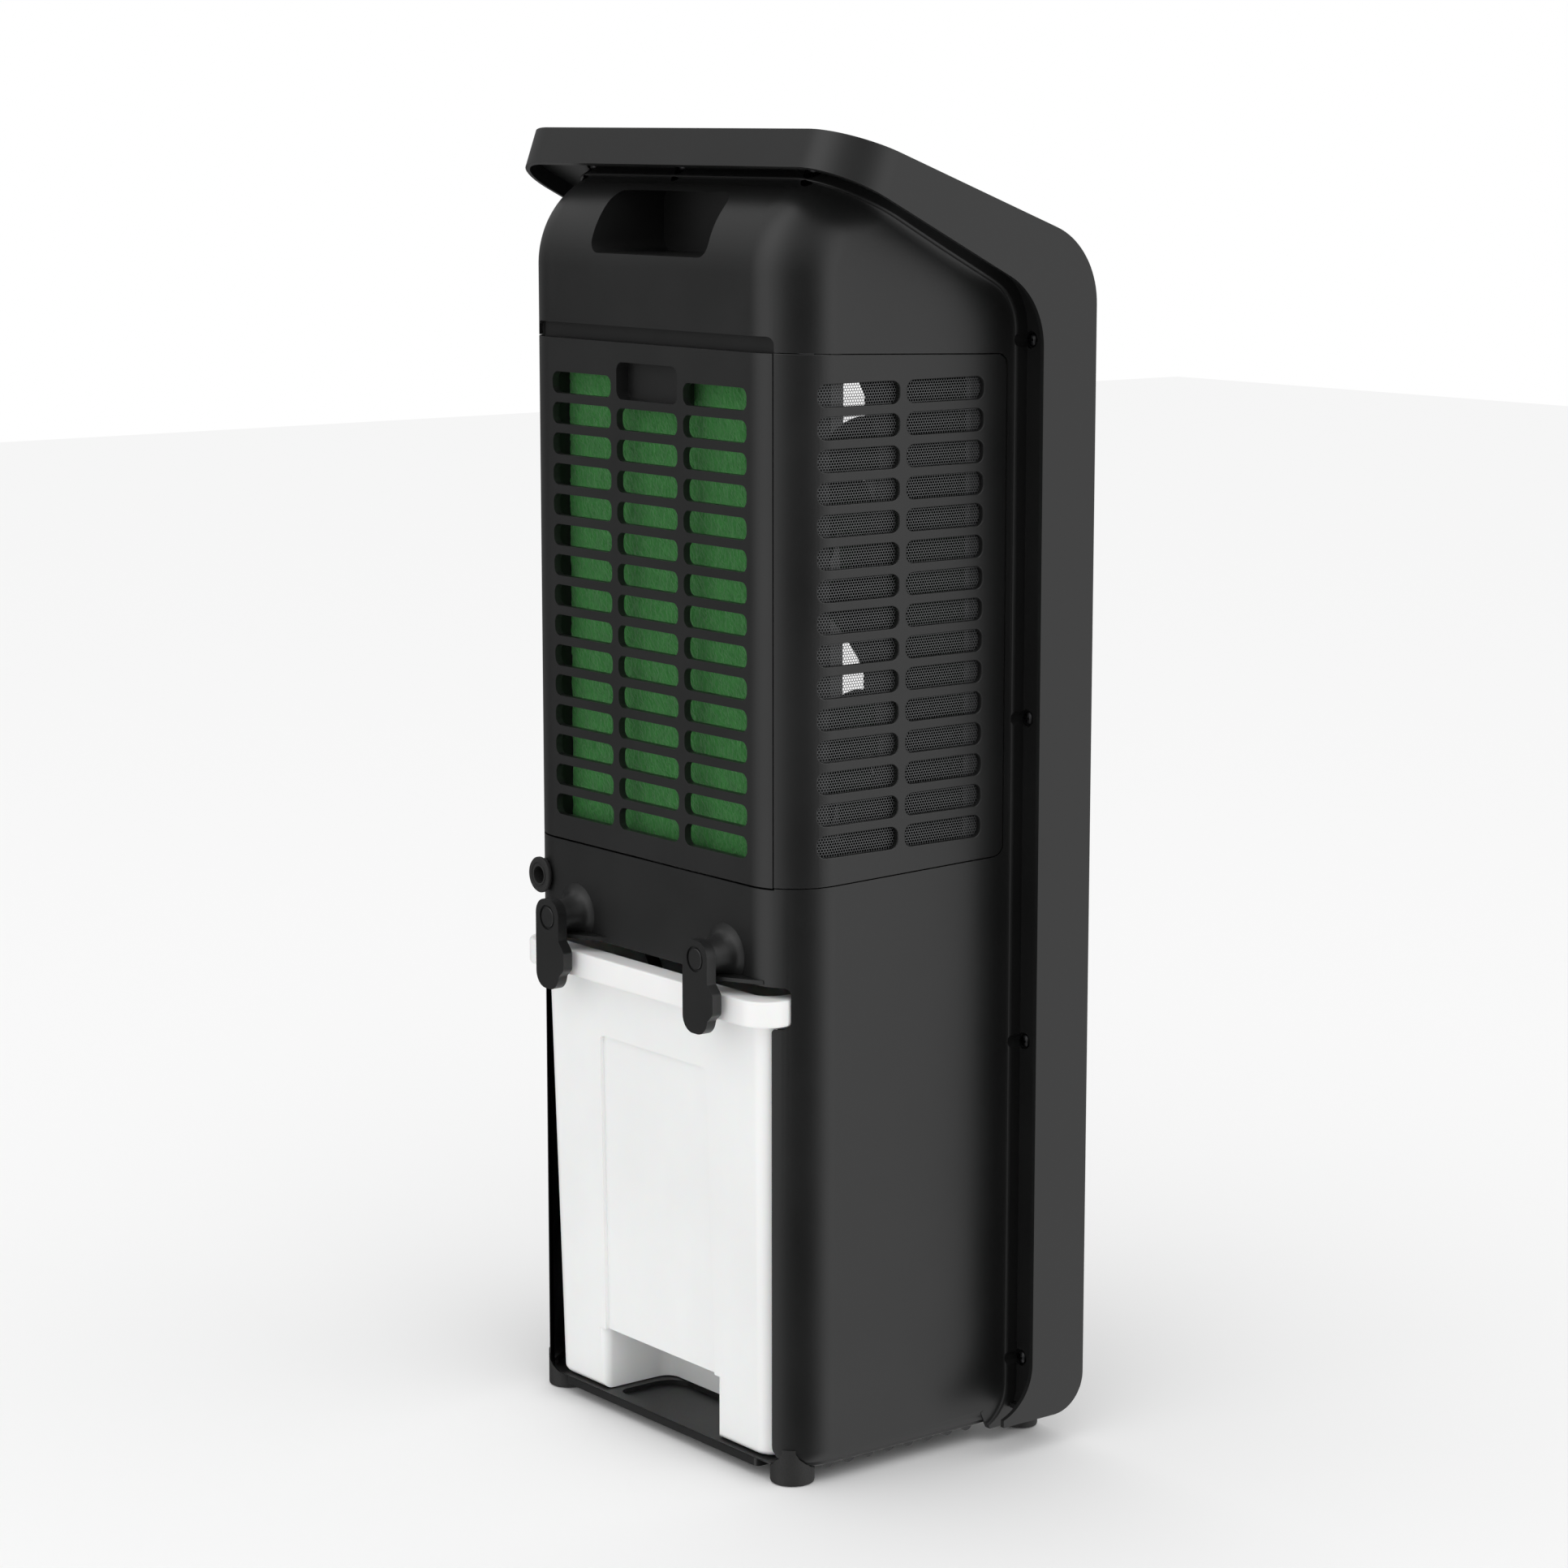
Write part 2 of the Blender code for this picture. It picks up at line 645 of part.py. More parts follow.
def side_opening():
    strip = solid([side_strip(-0.002, WALL + 0.0025, SIDE_FRONT_DEPTH + GAP, 0.02)], "XY", 0.2, 0.65)
    return common(strip, solid([side_face(GAP)], "YZ", 0, 0.2))


def latch_bosses():
    low, high = at_depth(0.002), REAR + BOSS_PROUD
    return [cylinder((side * LATCH_X, 0, LATCH_Z), BOSS_R[0], low, high, "Y", 20, BOSS_R[1]) for side in (-1, 1)]


# ---------------------------------------------------------------- panels, filters


def rear_plan(inset, thick):
    """Plan of the rear panel: flat, turning in a little at both seams."""
    centre_x = BODY_HALF - CORNER_R
    centre_y = at_depth(CORNER_R)
    edge = math.pi / 2 - SEAM_ANGLE + 0.012
    right = arc((centre_x, centre_y), CORNER_R - inset, edge, math.pi / 2)
    inner = arc((centre_x, centre_y), CORNER_R - inset - thick, edge, math.pi / 2)
    left = [(-x, y) for x, y in reversed(right)]
    inner_left = [(-x, y) for x, y in inner]
    return [*right, *left, *inner_left, *reversed(inner)]


def rear_grille():
    """The filter door's outer panel, with a closed finger recess in the top middle slot."""
    shape = solid([rear_plan(0, WALL)], "XY", PANEL_BOTTOM, PANEL_TOP)
    slots = slot_outlines(REAR_COLUMNS, SLOT_ROWS, SLOT_FIRST_Z, skip={(0, 1)})
    shape = cut(shape, solid(slots, "XZ", at_depth(0.01), REAR + 0.01))
    left, right = REAR_COLUMNS[1]
    recess = box((left - RECESS_WALL, at_depth(RECESS_DEPTH + RECESS_WALL), RECESS_Z[0] - RECESS_WALL),
                 (right + RECESS_WALL, at_depth(0.001), RECESS_Z[1] + RECESS_WALL))
    hollow = solid([box_outline((left, RECESS_Z[0]), (right, RECESS_Z[1]), 0.003)], "XZ",
                   at_depth(RECESS_DEPTH), REAR + 0.001)
    part("rear_grille", cut(join(shape, recess), hollow), GRILLE, DOOR_PIVOT)


def pad_frame():
    half = PAD_HALF + GAP
    low = PAD_Z[0] - GAP
    high = PAD_Z[1] + GAP
    wall = PAD_FRAME_WALL
    outer = box_outline((-half - wall, low - wall), (half + wall, high + wall))
    inner = box_outline((-half, low), (half, high))
    ring = solid([outer, inner], "XZ", at_depth(PAD_FRAME_DEPTH[1]), at_depth(PAD_FRAME_DEPTH[0]))
    notch = box((-0.030, at_depth(RECESS_DEPTH + RECESS_WALL + GAP), RECESS_Z[0] - RECESS_WALL),
                (0.030, REAR, RECESS_Z[1] + RECESS_WALL + GAP))
    part("pad_frame", cut(ring, notch), DARK, DOOR_PIVOT)


def cooling_pad():
    block = box((-PAD_HALF, at_depth(PAD_DEPTH[1]), PAD_Z[0]), (PAD_HALF, at_depth(PAD_DEPTH[0]), PAD_Z[1]))
    part("cooling_pad", block, GREEN, DOOR_PIVOT)


def side_grille(name, side):
    def build():
        strip = solid([side_strip(0, WALL, SIDE_FRONT_DEPTH)], "XY", 0.2, 0.65)
        face = common(strip, solid([side_face(0)], "YZ", 0, 0.2))
        columns = [(at_depth(start + SIDE_SLOT_WIDTH), at_depth(start)) for start in SIDE_COLUMNS]
        slots = slot_outlines(columns, SLOT_ROWS, SLOT_FIRST_Z + 0.0026)
        return cut(face, solid(slots, "YZ", 0.05, 0.2))
    part("side_grille_" + name, one_side(build, side), GRILLE)


def side_mesh(name, side):
    def build():
        return solid([side_strip(WALL + 0.0009, MESH_THICK, MESH_DEPTH, -0.30)], "XY", *MESH_Z)
    part("side_mesh_" + name, one_side(build, side), MESH)


# ---------------------------------------------------------------- base, feet, tank


def base_plate():
    """The bottom pan: a plate with a rear rim, round ribs under it, a scoop in its top and bosses for the feet."""
    plate = solid([plan_outline(BASE_INSET, 0.150)], "XY", *BASE_Z)
    rear = REAR - BASE_INSET
    rim = box((-0.086, rear - BASE_RIM_WIDTH, BASE_RIM_Z), (0.086, rear, BASE_Z[1] - 0.001))
    ribs = [cylinder((0, at_depth(0.020 + i * RIB_PITCH), RIB_Z), RIB_R, -RIB_HALF, RIB_HALF, "X", 8)
            for i in range(RIB_COUNT)]
    foot_x, foot_depth = REAR_FOOT
    boss_low, boss_high = REAR_FOOT_HEIGHT + GAP, BASE_Z[0] + 0.001
    bosses = [cylinder((side * foot_x, at_depth(foot_depth), 0), 0.0110, boss_low, boss_high, sides=20)
              for side in (-1, 1)]
    above = box((-0.2, -0.2, BASE_Z[1] - 0.0001), (0.2, 0.2, 0.05))
    half, front_depth, rear_depth = SCOOP
    outline = box_outline((-half, at_depth(front_depth)), (half, at_depth(rear_depth)), 0.012)
    scoop = solid([outline], "XY", SCOOP_Z, 0.05)
    limit = solid([plan_outline(BASE_INSET, 0.155)], "XY", 0, 0.1)
    shape = common(join(plate, rim, *ribs, *bosses), limit)
    part("base_plate", cut(shape, above, scoop), BLACK)


def feet():
    """Low feet under the bottom pan, taller ones under the front shell that meet its rounded lower edge."""
    shell = solid([rounded([
        (at_depth(0.1), SHELL_BOTTOM - GAP, 0),
        (at_depth(FRONT_DEPTH + GAP), SHELL_BOTTOM - GAP, SHELL_BOTTOM_R + GAP),
        (at_depth(FRONT_DEPTH + GAP), 0.1, 0),
        (at_depth(0.1), 0.1, 0),
    ])], "YZ", -SHELL_HALF, SHELL_HALF)
    for name, side in SIDES.items():
        x, depth = REAR_FOOT
        centre = (side * x, at_depth(depth), 0)
        low_r, high_r = REAR_FOOT_R
        shape = cylinder(centre, low_r, 0, REAR_FOOT_HEIGHT, sides=20, top_radius=high_r)
        part("foot_rear_" + name, shape, RUBBER)
        x, depth = FRONT_FOOT
        centre = (side * x, at_depth(depth), 0)
        low_r, high_r = FRONT_FOOT_R
        shape = cylinder(centre, low_r, 0, FRONT_FOOT_HEIGHT, sides=20, top_radius=high_r)
        part("foot_front_" + name, cut(shape, shell), RUBBER)


def tank_section(inset, level):
    """Plan of the tank at a level from 0 at its floor to 1 under its rim."""
    half = TANK_BOTTOM_HALF + (TANK_TOP_HALF - TANK_BOTTOM_HALF) * level - inset
    proud = TANK_BOTTOM_PROUD + (TANK_TOP_PROUD - TANK_BOTTOM_PROUD) * level - inset
    front = at_depth(TANK_FRONT_DEPTH - (1 - level) * 0.004 - inset)
    rear = REAR + proud
    return rounded([(-half, front, 0.012), (half, front, 0.012), (half, rear, 0.011), (-half, rear, 0.011)])


def loft(low, high, low_z, high_z):
    """A closed solid between two outlines with the same number of points."""
    shape = bpy.data.meshes.new("loft")
    work = bmesh.new()
    bottom = [work.verts.new((x, y, low_z)) for x, y in low]
    top = [work.verts.new((x, y, high_z)) for x, y in high]
    count = len(bottom)
    for i in range(count):
        after = (i + 1) % count
        work.faces.new((bottom[i], bottom[after], top[after], top[i]))
    work.faces.new(reversed(bottom))
    work.faces.new(top)
    bmesh.ops.recalc_face_normals(work, faces=work.faces)
    work.to_mesh(shape)
    work.free()
    return shape


def tank_panel_outline(grow):
    """The sunk panel in the tank's rear face, narrower at the top; its foot runs into the finger notch."""
    low, high = TANK_PANEL_HALF
    return [(-low - grow, NOTCH_TOP - 0.004), (low + grow, NOTCH_TOP - 0.004),
            (high + grow, TANK_PANEL_TOP + grow), (-high - grow, TANK_PANEL_TOP + grow)]


def water_tank():
    rim_low = TANK_TOP - RIM_HEIGHT
    body = loft(tank_section(0, 0), tank_section(0, 1), TANK_FLOOR, rim_low + 0.001)
    rear = REAR + TANK_RIM_PROUD
    front = at_depth(TANK_FRONT_DEPTH + 0.002)
    rim_half = TANK_RIM_HALF
    rim_outline = rounded([(-rim_half, front, 0.01), (rim_half, front, 0.01),
                           (rim_half, rear, 0.015), (-rim_half, rear, 0.015)])
    rim = solid([rim_outline], "XY", rim_low, TANK_TOP)
    inside = loft(tank_section(TANK_WALL, 0), tank_section(TANK_WALL, 1.08),
                  TANK_FLOOR + TANK_WALL, TANK_TOP + 0.003)
    notch_block = box((-NOTCH_HALF - TANK_WALL, at_depth(NOTCH_DEPTH + TANK_WALL), TANK_FLOOR),
                      (NOTCH_HALF + TANK_WALL, REAR + 0.02, NOTCH_TOP + TANK_WALL))
    notch = solid([box_outline((-NOTCH_HALF, 0.0), (NOTCH_HALF, NOTCH_TOP), NOTCH_R)], "XZ",
                  at_depth(NOTCH_DEPTH), REAR + 0.02)
    lean = math.atan((TANK_TOP_PROUD - TANK_BOTTOM_PROUD) / (rim_low - TANK_FLOOR))
    turn = Matrix.Translation((0, REAR, TANK_FLOOR)) @ Matrix.Rotation(-lean, 4, "X")
    turn = turn @ Matrix.Translation((0, -REAR, -TANK_FLOOR))
    panel = solid([tank_panel_outline(0)], "XZ", REAR + TANK_BOTTOM_PROUD - TANK_PANEL_DEPTH, REAR + 0.02, turn)
    backing = solid([tank_panel_outline(TANK_WALL)], "XZ",
                    REAR + TANK_BOTTOM_PROUD - TANK_PANEL_DEPTH - TANK_WALL, REAR + 0.02, turn)
    inside = cut(inside, notch_block, backing)
    shape = cut(join(body, rim), inside, notch, panel)
    part("water_tank", shape, WHITE)


def latches():
    for name, side in SIDES.items():
        x = side * LATCH_X
        pivot = (x, HALF_DEPTH - LATCH_THICK / 2, LATCH_Z)
        low = LATCH_Z - 0.0385
        outline = rounded([
            (x - 0.0104, LATCH_Z + 0.0098, 0.0085), (x - 0.0104, low + 0.027, 0.0),
            (x - 0.0150, low + 0.022, 0.003), (x - 0.0150, low + 0.012, 0.003), (x - 0.0104, low + 0.008, 0.0),
            (x - 0.0104, low, 0.0085), (x + 0.0104, low, 0.0085), (x + 0.0104, LATCH_Z + 0.0098, 0.0085),
        ])
        bar = solid([outline], "XZ", HALF_DEPTH - LATCH_THICK, HALF_DEPTH)
        hole = cylinder((x, 0, LATCH_Z), 0.0048, HALF_DEPTH - 0.02, HALF_DEPTH + 0.01, "Y", 16)
        part("latch_" + name, cut(bar, hole), BLACK, pivot)
        head = cylinder((x, 0, LATCH_Z), 0.0044, REAR + BOSS_PROUD + GAP, HALF_DEPTH - 0.0006, "Y", 16)
        part("latch_pin_" + name, head, BLACK)


def cord_gland():
    """The bush that a cord would leave through, set in the rounded rear corner."""
    tip = REAR + GLAND_PROUD
    outside = solid([plan_outline(-GAP, 0.1)], "XY", 0.2, 0.4)
    barrel = cut(cylinder((GLAND_X, 0, GLAND_Z), GLAND_BARREL_R, at_depth(0.009), tip - 0.0005, "Y", 24), outside)
    disc = cylinder((GLAND_X, 0, GLAND_Z), GLAND_R, tip - GLAND_DISC, tip, "Y", 24)
    neck = cylinder((GLAND_X, 0, GLAND_Z), GLAND_NECK_R, at_depth(GLAND_NECK_DEPTH), tip - 0.0005, "Y", 16)
    bore = cylinder((GLAND_X, 0, GLAND_Z), GLAND_BORE_R, at_depth(0.03), REAR + 0.02, "Y", 16)
    part("cord_gland", cut(join(barrel, disc, neck), bore), RUBBER)


# ---------------------------------------------------------------- fans and air path


def fan_shroud():
    plate = box((-0.1115, at_depth(SHROUD_DEPTH[1]), 0.3002), (0.1115, at_depth(SHROUD_DEPTH[0]), 0.5855))
    front, back = at_depth(SHROUD_DEPTH[0] + 0.001), at_depth(DUCT_REAR_DEPTH)
    rings = [cylinder((0, 0, z), DUCT_R + DUCT_WALL, front, back, "Y", 28) for z in FAN_CENTRES_Z]
    holes = [cylinder((0, 0, z), DUCT_R, at_depth(0.13), at_depth(0.09), "Y", 28) for z in FAN_CENTRES_Z]
    part("fan_shroud", cut(join(plate, *rings), *holes), DARK)


def blade_mesh(centre_z, turn):
    """One swept, twisted blade as a thin closed loft from the hub to the tip."""
    shape = bpy.data.meshes.new("blade")
    work = bmesh.new()
    rows = []
    stations = 5
    for i in range(stations):
        share = i / (stations - 1)
        radius = HUB_R - 0.003 + (FAN_R - HUB_R + 0.003) * share
        pitch = math.radians(48 - 22 * share)
        sweep = 0.45 * share * share
        chord = 0.022 + 0.010 * share
        row = []
        for across, thick in BLADE_SECTION:
            around = sweep + chord * across * math.cos(pitch) / radius
            depth = chord * across * math.sin(pitch) * 0.75 + thick + 0.0006
            angle = turn + around
            middle = at_depth((FAN_DEPTH[0] + FAN_DEPTH[1]) / 2)
            row.append(work.verts.new((radius * math.cos(angle), middle + depth,
                                       centre_z + radius * math.sin(angle))))
        rows.append(row)
    for low, high in zip(rows, rows[1:]):
        for j in range(6):
            k = (j + 1) % 6
            work.faces.new((low[j], low[k], high[k], high[j]))
    work.faces.new(rows[0])
    work.faces.new(list(reversed(rows[-1])))
    bmesh.ops.recalc_face_normals(work, faces=work.faces)
    work.to_mesh(shape)
    work.free()
    return shape


def fans():
    for name, z in zip(("lower", "upper"), FAN_CENTRES_Z):
        hub = cylinder((0, 0, z), HUB_R, at_depth(FAN_DEPTH[1]), at_depth(FAN_DEPTH[0]), "Y", 24)
        blades = [blade_mesh(z, 2 * math.pi * i / BLADE_COUNT) for i in range(BLADE_COUNT)]
        bore = cylinder((0, 0, z), 0.0032, at_depth(FAN_DEPTH[0] + 0.013), at_depth(0.09), "Y", 12)
        centre = (0, at_depth((FAN_DEPTH[0] + FAN_DEPTH[1]) / 2), z)
        part("fan_" + name, cut(join(hub, *blades), bore), GREY, centre)


def motors():
    for name, z in zip(("lower", "upper"), FAN_CENTRES_Z):
        can = cylinder((0, 0, z), MOTOR_R, at_depth(MOTOR_DEPTH[1]), at_depth(MOTOR_DEPTH[0]), "Y", 28)
        nose = cylinder((0, 0, z), 0.0075, at_depth(0.0950), at_depth(0.089), "Y", 16)
        shaft = cylinder((0, 0, z), SHAFT_R, at_depth(FAN_DEPTH[0] + 0.011), at_depth(0.094), "Y", 12)
        part("motor_" + name, join(can, nose, shaft), STEEL)
        hub = cylinder((0, 0, z), 0.024, at_depth(SPIDER_DEPTH[1]), at_depth(SPIDER_DEPTH[0]), "Y", 24)
        front, back = at_depth(SPIDER_DEPTH[1]), at_depth(SPIDER_DEPTH[0])
        across, up = SPIDER_REACH
        arms = [box((-across, front, z - SPIDER_ARM), (across, back, z + SPIDER_ARM)),
                box((-SPIDER_ARM, front, z - up), (SPIDER_ARM, back, z + up))]
        eye = cylinder((0, 0, z), 0.0080, at_depth(0.1), at_depth(0.085), "Y", 16)
        part("motor_mount_" + name, cut(join(hub, *arms), eye), DARK)


def louvre_frame():
    """The outlet duct in the front, with holes for the pins of the blades."""
    half = OUTLET_HALF - GAP
    low = OUTLET_Z[0] + GAP
    high = OUTLET_Z[1] - GAP
    outer = box_outline((-half, low), (half, high), 0.0116)
    inner = box_outline((-half + 0.002, low + 0.002), (half - 0.002, high - 0.002), 0.0096)
    shape = solid([outer, inner], "XZ", at_depth(FRONT_DEPTH - 0.0003), at_depth(0.1236))
    pins = [cylinder((0, at_depth(LOUVRE_DEPTH), louvre_z(i)), PIN_HOLE_R, -0.1, 0.1, "X", 8)
            for i in range(LOUVRE_COUNT)]
    pins += [cylinder((vane_x(i), at_depth(VANE_DEPTH), 0), PIN_HOLE_R, 0.25, 0.65, "Z", 8)
             for i in range(VANE_COUNT)]
    part("louvre_frame", cut(shape, *pins), BLACK)


def louvre_z(i):
    pitch = (OUTLET_Z[1] - OUTLET_Z[0]) / LOUVRE_COUNT
    return OUTLET_Z[0] + pitch * (i + 0.5)


def vane_x(i):
    pitch = 2 * OUTLET_HALF / VANE_COUNT
    return -OUTLET_HALF + pitch * (i + 0.5)


def louvres():
    """Horizontal blades that set the height of the air stream."""
    half = OUTLET_HALF - 0.0034
    for i in range(LOUVRE_COUNT):
        z = louvre_z(i)
        y = at_depth(LOUVRE_DEPTH)
        section = rounded([(y - 0.0115, z - 0.0006, 0), (y, z - 0.0022, 0), (y + 0.0105, z - 0.0006, 0),
                           (y + 0.0105, z + 0.0006, 0), (y, z + 0.0022, 0), (y - 0.0115, z + 0.0006, 0)])
        blade = solid([section], "YZ", -half, half)
        pin = cylinder((0, y, z), PIN_R, -OUTLET_HALF + 0.0012, OUTLET_HALF - 0.0012, "X", 8)
        part("louvre_%d" % (i + 1), join(blade, pin), BLACK, (0, y, z))


def vanes():
    """Upright blades that swing the air stream from side to side."""
    y = at_depth(VANE_DEPTH)
    low = OUTLET_Z[0] + 0.0034
    high = OUTLET_Z[1] - 0.0034
    for i in range(VANE_COUNT):
        x = vane_x(i)
        section = [(x - 0.0004, y - 0.0095), (x + 0.0004, y - 0.0095), (x + 0.0010, y), (x + 0.0004, y + 0.0100),
                   (x - 0.0004, y + 0.0100), (x - 0.0010, y)]
        blade = solid([section], "XY", low, high)
        notch = box((x - 0.02, y + 0.0028, LINK_Z[0] - 0.0045), (x + 0.02, y + 0.02, LINK_Z[1] + 0.0045))
        pin = cylinder((x, y, 0), PIN_R, OUTLET_Z[0] + 0.0012, OUTLET_Z[1] - 0.0012, "Z", 8)
        crank = cylinder((x, y + LINK_OFFSET, 0), PIN_R, LINK_Z[0] - 0.0060, LINK_Z[1] + 0.0060, "Z", 8)
        part("vane_%d" % (i + 1), join(cut(blade, notch), pin, crank), DARK, (x, y, 0.442))


def vane_link():
    """The bar that ties the vanes together, hung on their crank pins."""
    y = at_depth(VANE_DEPTH) + LINK_OFFSET
    first = vane_x(0) - 0.006
    last = vane_x(VANE_COUNT - 1) + 0.006
    bar = box((first, y - 0.0029, LINK_Z[0]), (last, y + 0.0029, LINK_Z[1]))
    holes = [cylinder((vane_x(i), y, 0), PIN_HOLE_R, 0.43, 0.46, "Z", 8) for i in range(VANE_COUNT)]
    part("vane_link", cut(bar, *holes), DARK, (vane_x(0), y, 0.442))


def swing_motor():
    """The small geared motor under the vanes, with its output shaft below the first pivot."""
    y = at_depth(VANE_DEPTH)
    can = cylinder((vane_x(0), y, 0), SWING_MOTOR_R, *SWING_MOTOR_Z, "Z", 24)
    ears = box((vane_x(0) - 0.0175, y - 0.0030, SWING_MOTOR_Z[1] - 0.0025),
               (vane_x(0) + 0.0175, y + 0.0030, SWING_MOTOR_Z[1]))
    shaft = cylinder((vane_x(0), y, 0), PIN_R, SWING_MOTOR_Z[1] - 0.001, OUTLET_Z[0] + 0.0007, "Z", 8)
    part("swing_motor", join(can, ears, shaft), STEEL)


# ---------------------------------------------------------------- controls


def lid_solid(outlines, low, high):
    return solid(outlines, "XY", low, high, lid_matrix(PANEL_ALONG))


def lid_round(x, y, radius, low, high, sides=20):
    shape = cylinder((x, y, 0), radius, low, high, "Z", sides)
    shape.transform(lid_matrix(PANEL_ALONG))
    return shape


def button_x(i):
    return (i - (BUTTON_COUNT - 1) / 2) * BUTTON_PITCH


def display_outline(half_x, half_y, radius):
    return box_outline((-half_x, -half_y - DISPLAY_ALONG), (half_x, half_y - DISPLAY_ALONG), radius)


def control_panel():
    half = (PANEL_HALF[0] - GAP, PANEL_HALF[1] - GAP)
    plate = lid_solid([box_outline((-half[0], -half[1]), half, 0.0056)], -0.0024, -0.0002)
    holes = [lid_round(button_x(i), -BUTTON_ALONG, BUTTON_R + 0.0005, -0.01, 0.01) for i in range(BUTTON_COUNT)]
    grown = (DISPLAY_HALF[0] + 0.0003, DISPLAY_HALF[1] + 0.0003)
    window = lid_solid([display_outline(*grown, 0.002)], -0.01, 0.01)
    part("control_panel", cut(plate, *holes, window), BLACK)


def display_window():
    plate = lid_solid([display_outline(*DISPLAY_HALF, 0.0017)], -0.0022, -0.0004)
    part("display_window", plate, WINDOW)


def buttons():
    for i in range(BUTTON_COUNT):
        cap = lid_round(button_x(i), -BUTTON_ALONG, BUTTON_R, -0.0032, 0.0010)
        foot = lid_round(button_x(i), -BUTTON_ALONG, BUTTON_R + 0.0014, -0.0042, -0.0029)
        origin = lid_matrix(PANEL_ALONG) @ Vector((button_x(i), -BUTTON_ALONG, -0.002))
        part("button_%d" % (i + 1), join(cap, foot), GREY, origin)


def control_board():
    plate = lid_solid([box_outline((-BOARD_HALF[0], -BOARD_HALF[1]), BOARD_HALF, 0.002)], -0.0080, -0.0064)
    part("control_board", plate, BOARD)


# ---------------------------------------------------------------- water system


def water_pump():
    low = (PUMP[0] - PUMP_HALF, PUMP[1] - PUMP_HALF)
    high = (PUMP[0] + PUMP_HALF, PUMP[1] + PUMP_HALF)
    body = solid([box_outline(low, high, 0.004)], "XY", *PUMP_Z)
    floor = TANK_FLOOR + TANK_WALL + GAP
    legs = [cylinder((PUMP[0] + a * 0.013, PUMP[1] + b * 0.013, 0), 0.003, floor, PUMP_Z[0] + 0.001, "Z", 8)
            for a in (-1, 1) for b in (-1, 1)]
    outlet = cylinder((PUMP[0], PUMP[1], 0), 0.0032, PUMP_Z[1] - 0.001, PUMP_Z[1] + 0.006, "Z", 12)
    chamber = cylinder((PUMP[0], PUMP[1], 0), 0.0125, PUMP_Z[0] - 0.006, PUMP_Z[0] + 0.0138, "Z", 20)
    part("water_pump", cut(join(body, *legs, outlet), chamber), DARK)


def pump_impeller():
    low = PUMP_Z[0] + 0.001
    hub = cylinder((PUMP[0], PUMP[1], 0), 0.0035, low, low + 0.0113, "Z", 12)
    plate = cylinder((PUMP[0], PUMP[1], 0), 0.0105, low + 0.0088, low + 0.0103, "Z", 20)
    long, thin = 0.0100, 0.0007
    fins = [box((PUMP[0] - a, PUMP[1] - b, low + 0.0018), (PUMP[0] + a, PUMP[1] + b, low + 0.0093))
            for a, b in ((long, thin), (thin, long))]
    part("pump_impeller", join(hub, plate, *fins), GREY, (PUMP[0], PUMP[1], low + 0.0058))


HOSE_ROUTE = (
    (PUMP[0], PUMP[1], PUMP_Z[1] + 0.0065),
    (PUMP[0], PUMP[1], 0.100),
    (0.066, at_depth(0.095), 0.160),
    (0.082, at_depth(0.066), 0.225),
    (HOSE_POST[0], at_depth(HOSE_POST[1]), 0.275),
    (HOSE_POST[0], at_depth(HOSE_POST[1]), 0.320),
    (HOSE_POST[0], at_depth(HOSE_POST[1]), 0.440),
    (HOSE_POST[0], at_depth(HOSE_POST[1]), 0.575),
    (HOSE_POST[0], at_depth(0.0530), 0.5935),
    (HOSE_POST[0], at_depth(0.0450), 0.6035),
    (HOSE_POST[0], at_depth(0.0370), 0.5990),
    (HOSE_POST[0], at_depth(0.0345), 0.5880),
)


def smooth_route(route, steps):
    """Points of a Catmull-Rom curve through the route."""
    points = [Vector(p) for p in route]
    padded = [2 * points[0] - points[1], *points, 2 * points[-1] - points[-2]]
    made = []
    for a, b, c, d in zip(padded, padded[1:], padded[2:], padded[3:]):
        for i in range(steps):
            t = i / steps
            made.append(0.5 * (2 * b + (c - a) * t + (2 * a - 5 * b + 4 * c - d) * t * t
                               + (3 * b - a - 3 * c + d) * t ** 3))
    return [*made, points[-1]]


def water_hose():
    """The riser from the pump to the drip tray."""
    curve = bpy.data.curves.new("water_hose", "CURVE")
    curve.dimensions = "3D"
    curve.bevel_depth = HOSE_R
    curve.bevel_resolution = 1
    curve.use_fill_caps = True
    spline = curve.splines.new("POLY")
    points = smooth_route(HOSE_ROUTE, HOSE_STEPS)
    spline.points.add(len(points) - 1)
    for point, place in zip(spline.points, points):
        point.co = (*place, 1)
    holder = bpy.data.objects.new("hose", curve)
    CUTTERS.objects.link(holder)
    bpy.context.view_layer.update()
    shape = bpy.data.meshes.new_from_object(holder.evaluated_get(bpy.context.evaluated_depsgraph_get()))
    bpy.data.objects.remove(holder, do_unlink=True)
    clean(shape)
    part("water_hose", shape, RUBBER)


def drip_tray():
    """The trough above the pad that spreads the water."""
    rear, front = TRAY_DEPTH
    shape = box((-TRAY_HALF, at_depth(front), TRAY_Z[0]), (TRAY_HALF, at_depth(rear), TRAY_Z[1]))
    inner = TRAY_HALF - TRAY_WALL
    inside = box((-inner, at_depth(front - TRAY_WALL), TRAY_Z[0] + TRAY_WALL),
                 (inner, at_depth(rear + TRAY_WALL), TRAY_Z[1] + 0.01))
    middle = at_depth((rear + front) / 2)
    first = -(DRIP_COUNT - 1) / 2 * DRIP_PITCH
    drips = [cylinder((first + i * DRIP_PITCH, middle, 0), DRIP_R, 0.57, 0.59, "Z", 8) for i in range(DRIP_COUNT)]
    part("drip_tray", cut(shape, inside, *drips), DARK)


# ---------------------------------------------------------------- fasteners


